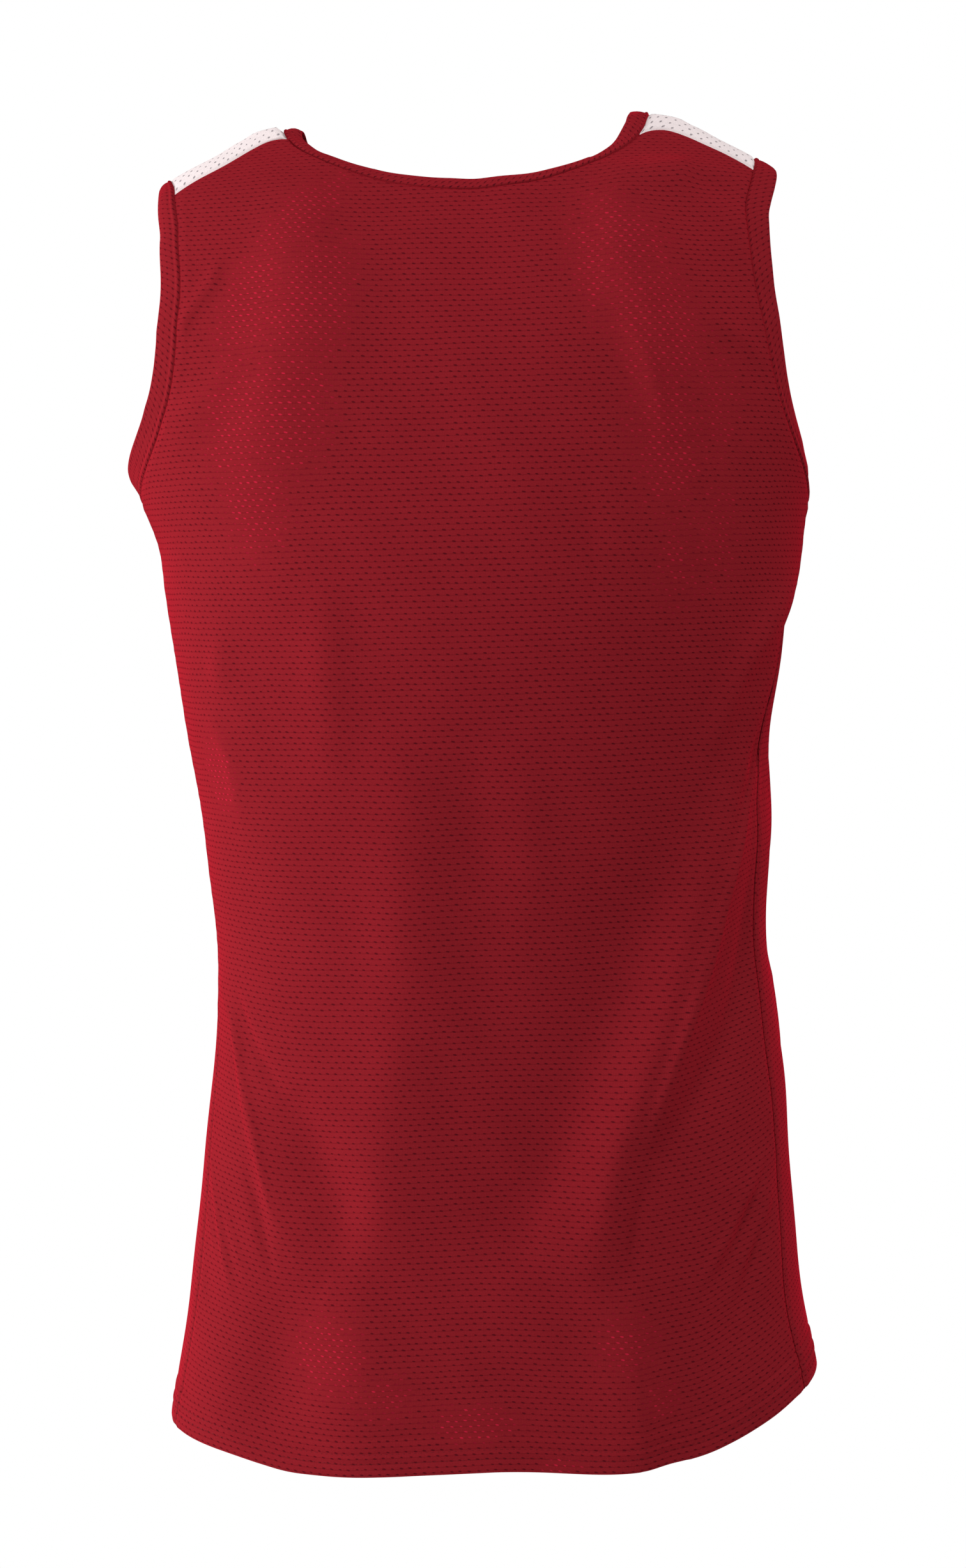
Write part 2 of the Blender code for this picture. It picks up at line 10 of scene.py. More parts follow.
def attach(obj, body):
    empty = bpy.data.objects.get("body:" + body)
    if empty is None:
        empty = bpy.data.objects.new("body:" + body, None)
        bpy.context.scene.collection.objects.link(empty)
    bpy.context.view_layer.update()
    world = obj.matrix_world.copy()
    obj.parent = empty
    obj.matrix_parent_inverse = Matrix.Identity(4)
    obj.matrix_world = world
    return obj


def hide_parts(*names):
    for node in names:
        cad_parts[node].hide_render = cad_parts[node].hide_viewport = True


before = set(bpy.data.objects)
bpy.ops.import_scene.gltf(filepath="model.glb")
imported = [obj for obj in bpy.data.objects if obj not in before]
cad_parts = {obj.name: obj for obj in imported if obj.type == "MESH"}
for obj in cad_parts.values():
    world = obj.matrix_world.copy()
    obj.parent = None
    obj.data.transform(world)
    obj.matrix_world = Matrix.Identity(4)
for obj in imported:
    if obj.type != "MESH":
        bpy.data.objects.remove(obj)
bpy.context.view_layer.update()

# Metres. The front faces -Y, the wearer's left is +X, angles run from centre back to the left.

form = {
    "pivotHeight": -0.215,  # cloth above this is drawn out from here, cloth below it level
    # how the surface is searched for: halvings, and the least and most that a ray can reach, as
    # times its own length, as metres from the middle and as metres above the pivot
    "searchSteps": 32,
    "stretch": (0.2, 4.0),
    "radius": (0.01, 0.40),
    "crown": (0.0, 0.221),
    # height, half width, centre, back depth, front depth, squareness of each level section
    "sections": (
        (0.006, 0.02, 0, 0.002, 0.002, 2.2), (0.002, 0.06, 0, 0.008, 0.008, 2.2),
        (-0.0035, 0.106, 0, 0.022, 0.02, 2.3), (-0.0095, 0.121, 0, 0.031, 0.028, 2.3),
        (-0.0175, 0.135, 0, 0.042, 0.038, 2.3), (-0.027, 0.153, 0.001, 0.054, 0.05, 2.3),
        (-0.0385, 0.1695, 0.002, 0.067, 0.062, 2.3), (-0.062, 0.184, 0.001, 0.086, 0.08, 2.35),
        (-0.1, 0.19, 0, 0.106, 0.1, 2.4), (-0.15, 0.188, 0, 0.122, 0.116, 2.4),
        (-0.205, 0.179, -0.001, 0.1292, 0.125, 2.4), (-0.228, 0.1725, -0.0022, 0.1303, 0.127, 2.4),
        (-0.25, 0.1685, -0.001, 0.1304, 0.127, 2.4), (-0.29, 0.163, 0, 0.1285, 0.125, 2.4),
        (-0.33, 0.1563, 0.0012, 0.1243, 0.122, 2.4), (-0.39, 0.1515, -0.0022, 0.117, 0.116, 2.4),
        (-0.45, 0.1478, -0.0028, 0.1103, 0.11, 2.4), (-0.48, 0.1505, -0.0038, 0.1082, 0.109, 2.4),
        (-0.52, 0.1549, -0.004, 0.107, 0.11, 2.4), (-0.6, 0.1625, -0.0006, 0.108, 0.115, 2.35),
        (-0.64, 0.1677, 0.001, 0.107, 0.117, 2.3), (-0.68, 0.1745, 0.0008, 0.104, 0.118, 2.3),
        (-0.705, 0.1778, 0.0016, 0.101, 0.118, 2.3), (-0.745, 0.18, 0.0016, 0.096, 0.116, 2.3),
    ),
}

seams = {
    # place round the armhole from its top, then depth and height on the left and on the right
    "armhole": (
        (0, 0, -0.03, 0, -0.028), (30, 0.037, -0.04, 0.035, -0.04),
        (60, 0.067, -0.077, 0.062, -0.069), (90, 0.081, -0.124, 0.0755, -0.113),
        (120, 0.077, -0.163, 0.072, -0.162), (150, 0.05, -0.191, 0.048, -0.193),
        (180, 0.004, -0.205, 0.004, -0.212), (210, -0.045, -0.196, -0.045, -0.201),
        (240, -0.078, -0.165, -0.078, -0.168), (270, -0.084, -0.122, -0.084, -0.124),
        (300, -0.066, -0.077, -0.066, -0.078), (330, -0.034, -0.04, -0.034, -0.04),
    ),
    # place round the neck, across, depth, and how far the binding pulls the cloth down
    "neck": (
        (0, 0, 0.073, 0), (30, 0.046, 0.064, 0), (60, 0.084, 0.038, 0.001),
        (90, 0.098, 0.002, 0.003), (120, 0.087, -0.044, 0.002), (150, 0.052, -0.081, 0),
        (180, 0, -0.096, 0), (210, -0.052, -0.081, 0), (240, -0.087, -0.044, 0),
        (270, -0.098, 0.002, 0), (300, -0.087, 0.04, 0), (330, -0.049, 0.066, 0),
    ),
    # insert seams: place round the neck, place round the armhole, and between them how far out
    # from the middle and how deep
    "inserts": {
        ("left", "back"): (74, 31, ((0.103, 0.0222), (0.112, 0.0245), (0.128, 0.0325), (0.143, 0.0358))),
        ("left", "front"): (117, -31, ((0.112, -0.033),)),
        ("right", "back"): (67, 24, ((0.096, 0.028), (0.105, 0.0228), (0.117, 0.0222),
                                     (0.13, 0.025), (0.143, 0.0272))),
        ("right", "front"): (117, -31, ((0.112, -0.033),)),
    },
    "dropBlend": 6,  # how soon the shoulder seams are over the drop at the neck
    "footSearch": (150, 200),  # places round the armhole between which the side seam meets it
    "underarm": {"back": 143, "front": 222},  # places where the armhole turns upward
    # angle round the body and height of the bottom edge
    "hem": (
        (-180, -0.69), (-130, -0.688), (-100, -0.679), (-84, -0.679), (-75, -0.685),
        (-66, -0.695), (-59, -0.703), (-53, -0.709), (-46, -0.712), (0, -0.712),
        (30, -0.714), (45, -0.715), (52, -0.714), (59, -0.71), (66, -0.706),
        (80, -0.7), (95, -0.696), (130, -0.693), (180, -0.69),
    ),
    "sideFoot": -0.700,  # the side seams reach the hem at the angles that they have here
    # height, then the side seam's angle on the left and on the right
    "side": (
        (-0.203, 85, 85), (-0.3, 84, 79), (-0.37, 82, 72), (-0.43, 80, 73),
        (-0.56, 76.5, 74), (-0.62, 75.5, 74), (-0.66, 78, 75.5), (-0.71, 81, 78),
    ),
}

folds = {
    # Each fold goes through places, given in turn as an angle and the mm below the frame's
    # origin. It falls away within the first width on the side towards the wearer's left and
    # within the second on the other, and then comes how far it rises, all in mm. Negative rises
    # are troughs. Last is how much of it is left at its first and last place.
    "rows": (
        # shoulder blades
        ((58.5, 31, 50, 51, 43.5, 79, 39.5, 111, 40, 145, 40, 177, 40, 210), 23.5, 28, 6.6, (0.1, 0.1)),
        ((-61.5, 33, -54, 45, -47, 59, -42.5, 81, -42, 97, -44, 114, -45.5, 135, -46.5, 155, -46, 182),
         17, 15, 6.6, (0.1, 0.1)),
        ((-38.5, 116, -41, 137, -42, 156, -43, 179), 6.5, 3, 1.9, (0.3, 0.3)),
        ((-57.5, 48, -50.5, 71, -48, 91, -48, 111), 11, 17.5, 3.7, (0, 0)),
        ((46, 41, 38, 55, 32.5, 79), 9, 12, -1, (0.3, 0)),
        ((-48.5, 180, -50, 209, -51.5, 242), 18, 12, 1.1, (0.1, 0.1)),
        ((-35.5, 195, -36, 215, -38.5, 235), 9, 15.5, -0.6, (0.1, 0.1)),
        ((-27.5, 222, -35.5, 221, -43, 218, -48.5, 210), 30, 28, 2.2, (0, 0)),
        ((-76, 44, -70, 41, -65.5, 39, -59.5, 35), 12, 18, 6.6, (0, 0.4)),
        ((-65, 40, -68.5, 45, -73, 46), 12, 10, -6.1, (0, 0.4)),
        # drag lines at the armholes
        ((57.5, 76, 57.5, 91, 59.5, 103, 60.5, 113), 5, 3, 2, (0, 0.7)),
        ((47.5, 132, 52.5, 146, 57.5, 155, 61.5, 164), 6.5, 12, 2.4, (0, 0.7)),
        ((50.5, 154, 56, 166, 61.5, 179), 7, 9, 0.8, (0, 0.6)),
        ((-53.5, 116, -56.5, 121, -59.5, 127, -62, 137), 5.5, 4, 1.3, (0, 0.7)),
        ((-69.5, 53, -65.5, 77, -64, 101), 7.5, 3.5, 1.7, (0.2, 0.2)),
        # left flank
        ((55, 271, 56, 289, 55.5, 304), 8, 9.5, 1.9, (0.1, 0.1)),
        ((61.5, 311, 57.5, 335, 56.5, 370), 5, 9.5, 1.3, (0.1, 0.1)),
        ((50, 261, 46, 291, 44.5, 325, 44, 359), 16, 23.5, -2, (0, 0)),
        # long soft folds down the waist
        ((31, 243, 31.5, 275, 32, 309, 33, 357), 11, 12.5, 1.8, (0, 0)),
        ((29, 243, 30, 292, 29.5, 341), 5.5, 9.5, 0.2, (0, 0)),
        ((15.5, 302, 14.5, 358, 17, 408, 19, 458, 22, 508, 26, 552, 30, 572, 36.5, 597),
         22, 30, 4.9, (0, 0.3)),
        ((-1.5, 316, 0, 369, -1.5, 419), 20, 13.5, -1.8, (0, 0)),
        ((-13.5, 320, -14, 386, -11.5, 449), 10.5, 11.5, 1.1, (0, 0)),
        # right flank and hip
        ((-81, 251, -71, 278, -70, 304, -66.5, 334, -60.5, 375), 25, 8, 5.8, (0.7, 0)),
        ((-78.5, 252, -67.5, 273, -60, 299, -56.5, 323, -55, 341), 8, 8.5, 3.5, (0.1, 0.3)),
        ((-67.5, 361, -52, 388, -39.5, 426, -34.5, 465, -26, 492, -22.5, 529, -16.5, 558),
         30, 30, -4.9, (0.1, 0.1)),
        ((-26, 531, -19, 557, -11, 580, -9, 609), 30, 27, -6.2, (0.5, 0.1)),
        ((-62, 360, -59, 380, -54.5, 414, -50, 446, -45.5, 479, -40, 512, -34.5, 545, -30.5, 578, -28, 597),
         16.5, 17.5, 11.4, (0.25, 0.35)),
        ((-27.5, 539, -23.5, 562, -19, 583, -15, 605), 10, 11, 2, (0.3, 0.1)),
        ((-80, 373, -71, 391, -63, 418, -56, 447, -51.5, 482, -47, 514, -44, 531, -41.5, 547),
         12, 30, 2.8, (0.4, 0.1)),
        ((-71.5, 353, -64.5, 381, -58, 411, -53.5, 444, -49.5, 478, -45, 513, -43, 531, -40.5, 545),
         4.5, 11.5, 3.1, (0.5, 0.1)),
        ((-71.5, 394, -69, 419, -67, 452, -61.5, 484, -54.5, 513, -50.5, 529, -45.5, 547, -40.5, 565),
         10.5, 13, -4.1, (0.2, 0.1)),
        ((-41.5, 557, -39, 578, -37.5, 608), 5.5, 5, -2.6, (0, 0.3)),
        ((-71, 556, -67.5, 573, -64, 590, -60, 615), 3, 8, 2, (0.4, 0)),
        ((-72, 583, -69, 600, -67, 618, -65, 633), 3.5, 14, 0.8, (0.3, 0)),
        ((-54, 612, -58.5, 589, -63, 568, -67, 551), 3, 30, 1.9, (0.3, 0)),
        ((-62, 631, -64.5, 612, -65.5, 594, -67, 574), 6.5, 19, -4.2, (0.3, 0)),
        ((-70, 349, -63, 383, -58, 415, -54.5, 447, -49.5, 479, -45.5, 505, -42, 529), 3, 3, 2, (0.4, 0.3)),
        ((-69.5, 553, -64, 571, -59, 593, -53, 615), 4, 4, 2.9, (0.3, 0.3)),
        ((-70.5, 573, -67, 589, -63.5, 605, -60, 625), 4, 4, 2.4, (0.3, 0.3)),
        # left hip
        ((67, 481, 65, 496, 63, 513, 60, 535, 55, 563, 51, 584, 46.5, 605), 3, 10.5, 2, (0.3, 0.2)),
        ((62, 548, 58, 570, 55, 591, 53, 606), 4, 3, -2, (0, 0.3)),
        ((67.5, 466, 60, 502), 3, 7, -2, (0.1, 0.1)),
        ((65.5, 463, 62, 481, 56.5, 500, 50, 517), 3, 3, -2, (0.2, 0.3)),
        ((51, 513, 43.5, 546, 37.5, 573, 39.5, 604), 18.5, 14.5, -6, (0.1, 0.3)),
        ((74.5, 556, 67.5, 589, 63, 624), 3, 3, 2, (0.2, 0.1)),
        ((72.5, 613, 68, 630), 6, 5.5, -0.9, (0.2, 0.1)),
        ((74, 461, 68, 479, 63, 505, 59, 531, 56, 557, 53.5, 577, 51, 593), 2.5, 2.5, 1.2, (0.4, 0.3)),
        ((71, 559, 67, 577, 62.5, 597, 59.5, 613), 2.5, 2.5, 0.9, (0.3, 0.2)),
        ((75, 577, 70, 595, 65.5, 615), 2.5, 2.5, 0.8, (0.3, 0.2)),
        # the cloth over the hem hangs in shallow waves
        ((50.5, 610, 50.5, 644, 54.5, 678, 61, 703), 22.5, 30, -5.6, (0.1, 0.35)),
        ((37.5, 606, 35, 639, 34.5, 676, 32, 711), 30, 28.5, 3, (0.1, 0.8)),
        ((-36.5, 611, -37, 645, -38.5, 679, -40, 710), 25.5, 10.5, 6, (0.1, 0.8)),
        ((-62.5, 621, -59.5, 651, -54.5, 677, -51, 703), 22, 12.5, -2.7, (0.1, 0.9)),
        ((34.5, 660, 20, 658, 0.5, 654, -20.5, 655), 7.5, 6.5, 0.4, (0, 0)),
        ((35, 686, 18.5, 683, -2.5, 676, -23.5, 673), 3, 6.5, 0.4, (0, 0)),
        # front
        ((124, 75, 134, 130, 141, 200), 20, 26, 4.4, (0.3, 0.1)),
        ((-126, 80, -136, 140, -140, 205), 26, 20, 4.2, (0.3, 0.1)),
        ((121, 120, 127, 145, 134, 160), 5, 5, 1.4, (0.7, 0)),
        ((-119, 125, -125, 150, -133, 168), 5, 5, 1.5, (0.7, 0)),
        ((150, 300, 156, 390, 163, 500), 22, 15, 4.6, (0, 0.1)),
        ((-162, 320, -156, 410, -148, 520), 15, 24, 4.4, (0, 0.1)),
        ((178, 340, 180, 420, 182, 520), 16, 16, 2.2, (0, 0)),
        ((100, 400, 112, 470, 124, 540, 140, 610), 11, 26, 8, (0.2, 0.2)),
        ((104, 360, 112, 410, 120, 460, 128, 500), 12, 12, 5, (0.6, 0)),
        ((108, 440, 118, 500, 130, 560), 9, 12, -4, (0.1, 0.1)),
        ((-100, 390, -114, 460, -128, 530, -144, 600), 26, 11, 7.6, (0.2, 0.2)),
        ((-98, 470, -106, 530, -113, 590), 13, 5, 4.5, (0.5, 0.1)),
        ((-104, 430, -114, 500, -126, 570), 14, 10, -3.6, (0.1, 0.1)),
        ((135, 610, 137, 650, 138, 695), 18, 20, -2.4, (0.1, 0.9)),
        ((-140, 600, -138, 650, -137, 690), 20, 18, -2.6, (0.1, 0.9)),
        ((168, 640, 178, 648, 190, 646), 7, 4.5, 0.9, (0, 0)),
    ),
    "fade": 0.45,  # the share of a fold's length in which it fades to each end
    "pieces": 4,  # straight pieces that a fold is made of between two of its places
    "cutOff": 3,  # points this many of its widths away are left alone
    "shoulderFade": (0.004, 0.034),  # none of a fold this near a shoulder seam, all of it this far off
    # slow unevenness of the cloth: across and up in radians a metre, phase, size in metres
    "driftRadius": 0.13,
    "drift": (
        (52.0, 17.0, 0.4, 0.00036),
        (-38.0, 44.0, 2.1, 0.00030),
        (95.0, -31.0, 4.0, 0.00022),
        (21.0, 88.0, 1.2, 0.00022),
        (-130.0, 70.0, 5.3, 0.00012),
    ),
}


def placed(x, y, z, place):
    # a matrix from its axes and its place
    return Matrix([[x[k], y[k], z[k], place[k]] for k in range(3)] + [[0, 0, 0, 1]])


def unit(vectors):
    return vectors / np.maximum(np.linalg.norm(vectors, axis=-1, keepdims=True), 1e-12)


def smoothCurve(rows, x):
    # a smooth curve through rows of a place and its value
    rows = sorted(rows)
    places = np.array([row[0] for row in rows], float)
    values = np.array([row[1] for row in rows], float)
    steps = np.diff(places)
    slopes = np.diff(values) / steps
    bend = np.empty_like(values)
    bend[1:-1] = (slopes[:-1] * steps[1:] + slopes[1:] * steps[:-1]) / (steps[1:] + steps[:-1])
    bend[0], bend[-1] = slopes[0], slopes[-1]
    x = np.clip(x, places[0], places[-1])
    i = np.clip(np.searchsorted(places, x, side="right") - 1, 0, len(steps) - 1)
    t = (x - places[i]) / steps[i]
    start = (2 * t**3 - 3 * t**2 + 1) * values[i] + (t**3 - 2 * t**2 + t) * steps[i] * bend[i]
    end = (3 * t**2 - 2 * t**3) * values[i + 1] + (t**3 - t**2) * steps[i] * bend[i + 1]
    return start + end


def column(rows, k):
    return [(row[0], row[k]) for row in rows]


def section(name, height):
    k = ("halfWidth", "centre", "back", "front", "squareness").index(name) + 1
    return smoothCurve(column(form["sections"], k), height)


def outside(points):
    # below 0 inside the filled-out body, above 0 outside it
    height = points[..., 2]
    depth = np.where(points[..., 1] > 0, section("back", height), section("front", height))
    power = section("squareness", height)
    across = np.abs((points[..., 0] - section("centre", height)) / section("halfWidth", height))
    return across**power + np.abs(points[..., 1] / depth) ** power - 1


def reach(middle, ray, near, far):
    # how many times each ray goes into the way from its middle point to the surface
    low = np.full(ray.shape[:-1], near)
    high = np.full(ray.shape[:-1], far)
    for _ in range(form["searchSteps"]):
        half = (low + high) / 2
        inside = outside(middle + half[..., None] * ray) < 0
        low = np.where(inside, half, low)
        high = np.where(inside, high, half)
    return high


def snapToBody(points):
    middle = np.zeros_like(points)
    middle[..., 2] = np.minimum(points[..., 2], form["pivotHeight"])
    ray = points - middle
    return middle + reach(middle, ray, *form["stretch"])[..., None] * ray


def levelPoints(angle, height):
    # points on the body at these angles from centre back and these heights
    turn = np.radians(np.asarray(angle, float))
    height = np.asarray(height, float) + 0 * turn
    middle = np.stack([0 * turn, 0 * turn, height], -1)
    ray = np.stack([np.sin(turn), np.cos(turn), 0 * turn], -1)
    return middle + reach(middle, ray, *form["radius"])[..., None] * ray


def outward(points):
    ways = np.eye(3) * 1e-5
    return unit(np.stack([outside(points + way) - outside(points - way) for way in ways], -1))


def angleOf(points):
    return np.degrees(np.arctan2(points[..., 0], points[..., 1]))


def foldRise(points):
    # how far the folds and the slow unevenness carry these points outward
    total = np.zeros(points.shape[:-1])
    flat = points.reshape(-1, 3)
    fade = folds["fade"]
    for places, before, after, rise, tails in folds["rows"]:
        places = np.array(places, float).reshape(-1, 2)
        lengths = np.linspace(0, 1, len(places))
        share = np.linspace(0, 1, folds["pieces"] * (len(places) - 1) + 1)
        angles = smoothCurve(list(zip(lengths, np.unwrap(places[:, 0], period=360))), share)
        line = levelPoints(angles, smoothCurve(list(zip(lengths, places[:, 1] / -1000)), share))
        start, along = line[:-1], np.diff(line, axis=0)
        middle = line.mean(axis=0)
        span = np.linalg.norm(line - middle, axis=-1).max() + folds["cutOff"] * max(before, after) / 1000
        chosen = np.flatnonzero(np.linalg.norm(flat - middle, axis=-1) < span)
        if not len(chosen):
            continue
        offset = flat[chosen][:, None, :] - start
        place = np.clip((offset * along).sum(-1) / (along**2).sum(-1), 0, 1)
        offset = offset - place[..., None] * along
        away = np.linalg.norm(offset, axis=-1)
        nearest = away.argmin(-1)[..., None]
        sign = np.take_along_axis((offset * np.cross(along, outward(start))).sum(-1), nearest, -1)[..., 0]
        place = (np.arange(len(start)) + place) / len(start)
        place = np.take_along_axis(place, nearest, -1)[..., 0]
        width = np.where(sign > 0, before, after) / 1000
        first, last = (1 - np.clip(tail, 0, 1) for tail in tails)
        strength = 1 - first * np.clip(1 - place / fade, 0, 1) ** 2
        strength -= last * np.clip((place - (1 - fade)) / fade, 0, 1) ** 2
        bump = rise / 1000 * strength * np.exp(-((away.min(-1) / width) ** 2))
        total.reshape(-1)[chosen] += bump
    across = np.radians(angleOf(points)) * folds["driftRadius"]
    for wave, climb, phase, size in folds["drift"]:
        total += size * np.sin(wave * across + climb * points[..., 2] + phase)
    return total


def folded(points):
    return points + foldRise(points)[..., None] * outward(points)


def stepsOf(points, axis=0):
    return np.linalg.norm(np.diff(points, axis=axis), axis=-1)


def running(steps, axis=0):
    # the sum up to each place, from 0
    return np.concatenate([0 * np.take(steps, [0], axis), np.cumsum(steps, axis=axis)], axis=axis)


def lengthsAlong(points):
    return running(stepsOf(points))


def lengthOf(points):
    return lengthsAlong(points)[-1]


def along(points, shares):
    # the points that lie these shares of the way along a curve
    lengths = lengthsAlong(points)
    wanted = np.asarray(shares) * lengths[-1]
    return np.stack([np.interp(wanted, lengths, points[:, k]) for k in range(points.shape[1])], -1)


dense = 241  # points on a curve before it is spaced out


def even(start, end):
    return np.linspace(start, end, dense)


def sideSign(side):
    return 1 if side == "left" else -1


def roundCurve(rows, k, around):
    # a smooth curve that closes after a full turn
    return smoothCurve([(row[0] + turn, row[k]) for turn in (-360, 0, 360) for row in rows], around)


def armPoints(side, around):
    around = np.asarray(around, float)
    k = 1 if side == "left" else 3
    depth = roundCurve(seams["armhole"], k, around)
    height = roundCurve(seams["armhole"], k + 1, around)
    furthest = np.where(depth > 0, section("back", height), section("front", height))
    power = section("squareness", height)
    share = (1 - np.abs(depth / furthest) ** power) ** (1 / power)
    x = section("centre", height) + sideSign(side) * section("halfWidth", height) * share
    return np.stack([x, depth, height], -1)


def topPoints(across, depth):
    base = np.stack([across, depth, np.full(np.shape(across), form["pivotHeight"])], -1)
    upright = np.broadcast_to((0.0, 0.0, 1.0), base.shape)
    base[..., 2] += reach(base, upright, *form["crown"])
    return base


def neckPoints(around):
    around = np.asarray(around, float)
    points = topPoints(roundCurve(seams["neck"], 1, around), roundCurve(seams["neck"], 2, around))
    points[..., 2] -= roundCurve(seams["neck"], 3, around)
    return points


def insertSeam(side, face):
    # from the neck seam to the armhole seam
    neck, arm, between = seams["inserts"][side, face]
    sign = sideSign(side)
    start = neckPoints(sign * neck)
    end = armPoints(side, arm)
    places = [(sign * start[0], start[1]), *between, (sign * end[0], end[1])]
    t = even(0, 1)
    across = (1 - t) * sign * start[0] + t * sign * end[0]
    curve = topPoints(sign * across, smoothCurve(places, across))
    curve[:, 2] -= (curve[0, 2] - start[2]) * (1 - t) ** seams["dropBlend"]
    curve[0], curve[-1] = start, end
    return curve


def sideAngle(side, height):
    k = 1 if side == "left" else 2
    return sideSign(side) * smoothCurve(column(seams["side"], k), height)


def seamFoot(side):
    # where the side seam meets the armhole
    places = even(*seams["footSearch"])
    points = armPoints(side, places)
    angles = np.degrees(np.arctan2(np.abs(points[:, 0]), points[:, 1]))
    return float(np.interp(abs(sideAngle(side, points[:, 2].min())), angles, places))


def hemHeight(angle):
    return smoothCurve(seams["hem"], (np.asarray(angle) + 180) % 360 - 180)


def sideSeam(side):
    top = armPoints(side, seamFoot(side))
    foot = float(hemHeight(sideAngle(side, seams["sideFoot"])))
    heights = even(foot, top[2])
    points = levelPoints(sideAngle(side, heights), heights)
    points[-1] = top
    return points


def sharesOf(first, second):
    found = [lengthsAlong(edge) / lengthOf(edge) for edge in (first, second)]
    return (found[0] + found[1]) / 2


def mixEdges(bottom, top, left, right, u, v):
    # a grid that blends four edges
    across = (1 - u) * left[:, None] + u * right[:, None]
    up = (1 - v) * bottom[None] + v * top[None]
    corners = (1 - v) * ((1 - u) * bottom[0] + u * bottom[-1]) + v * ((1 - u) * top[0] + u * top[-1])
    return across + up - corners


def swing(points, face):
    # the angle whose sine is how far out a point lies on its level section, and its height
    height = points[..., 2]
    across = (points[..., 0] - section("centre", height)) / section("halfWidth", height)
    angle = np.arcsin(np.clip(across, -1, 1))
    beyond = points[..., 1] < 0 if face == "back" else points[..., 1] > 0
    return np.stack([np.where(beyond, np.sign(angle) * np.pi - angle, angle), height], -1)


def unswing(places, face):
    angle, height = places[..., 0], places[..., 1]
    ahead = (np.cos(angle) > 0) == (face == "back")
    power = section("squareness", height)
    depth = np.where(ahead, section("back", height), -section("front", height))
    depth = depth * (1 - np.abs(np.sin(angle)) ** power) ** (1 / power)
    x = section("centre", height) + section("halfWidth", height) * np.sin(angle)
    return np.stack([x, depth, height], -1)


def fillPatch(bottom, top, left, right, face=None):
    # a grid of points on the body between four edges that share their corners
    u = sharesOf(bottom, top)[None, :, None]
    v = sharesOf(left, right)[:, None, None]
    if face is None:
        grid = snapToBody(mixEdges(bottom, top, left, right, u, v))
    else:
        edges = [swing(edge, face) for edge in (bottom, top, left, right)]
        grid = unswing(mixEdges(*edges, u, v), face)
    grid[0], grid[-1], grid[:, 0], grid[:, -1] = bottom, top, left, right
    return grid


# where the narrow cells beside a seam and over the bottom edge end, in mm from it
besideSeam = (0, 0.5, 1, 1.55, 2.1, 2.65, 3.4, 4.6, 6.4)
overHem = (0, 0.6, 1.4, 2.4, 3.8, 5.4, *np.arange(6.6, 25, 1.1))


def spacing(length, cell, fine=(False, False), hem=False):
    # shares of the way along an edge, with narrow cells at the ends that are to be fine
    narrow = [np.array(besideSeam if wanted else (0,)) / 1000 for wanted in fine]
    first = np.array(overHem) / 1000 if hem else narrow[0]
    last = length - narrow[1][::-1]
    count = max(2, round((last[0] - first[-1]) / cell))
    middle = np.linspace(first[-1], last[0], count + 1)
    return np.concatenate([first, middle[1:-1], last]) / length


# The mesh is drawn on each piece as a flat pattern in metres: u across the cloth, v up its wales.
grain = {
    "frozenAbove": -0.100,  # above this the cloth is measured across as at this height
    "chest": -0.205,  # the wales are measured up from here
    "hemBlend": (-0.300, -0.700),  # between these the courses come to follow the bottom edge
    "lowest": -0.720,
    "turn": 125,  # degrees that the pattern reaches round the body from the middle line
    "across": 0.188,  # metres that the shoulders reach from it
    "levels": 90, "heights": 600, "distances": 95,  # sizes of the tables
}


def acrossTable(face):
    # how far round the cloth from the middle line, by height and swing
    heights = np.linspace(grain["lowest"], grain["frozenAbove"], grain["levels"])
    turn = grain["turn"]
    angles = np.radians(np.linspace(-turn, turn, 2 * turn + 1))
    grid = unswing(np.stack(np.broadcast_arrays(angles[None], heights[:, None]), -1), face)
    run = running(stepsOf(grid, 1), 1)
    return heights, angles, run - run[:, [turn]]


def upTable(face):
    # how far up the cloth from the chest line, by distance across and height
    heights = np.linspace(grain["chest"], 0.0, grain["heights"])
    across = np.linspace(0, grain["across"], grain["distances"])
    power = section("squareness", heights)
    share = np.minimum(across[:, None] / section("halfWidth", heights), 1)
    depth = section(face, heights) * (1 - share**power) ** (1 / power)
    return across, heights, running(np.hypot(np.diff(heights), np.diff(depth, axis=1)), 1)


def lookUp(rows, columns, table, row, column):
    # reads a table between its rows and columns
    i = np.clip(np.interp(row, rows, np.arange(len(rows))), 0, len(rows) - 1.001)
    j = np.clip(np.interp(column, columns, np.arange(len(columns))), 0, len(columns) - 1.001)
    i0, j0 = i.astype(int), j.astype(int)
    a, b = i - i0, j - j0
    low = table[i0, j0] * (1 - b) + table[i0, j0 + 1] * b
    return low * (1 - a) + (table[i0 + 1, j0] * (1 - b) + table[i0 + 1, j0 + 1] * b) * a


def panelGrain(points, face):
    height = points[..., 2]
    frozen = points.copy()
    frozen[..., 2] = np.minimum(height, grain["frozenAbove"])
    u = lookUp(*acrossTable(face), frozen[..., 2], swing(frozen, face)[..., 0])
    up = lookUp(*upTable(face), np.abs(points[..., 0]), np.maximum(height, grain["chest"]))
    v = np.minimum(height - grain["chest"], 0) + up
    start, end = grain["hemBlend"]
    blend = np.clip((height - start) / (end - start), 0, 1)
    blend = blend * blend * (3 - 2 * blend)
    v -= blend * (hemHeight(angleOf(points)) - hemHeight(0.0 if face == "back" else 180.0))
    return np.stack([u if face == "back" else -u, v], -1)


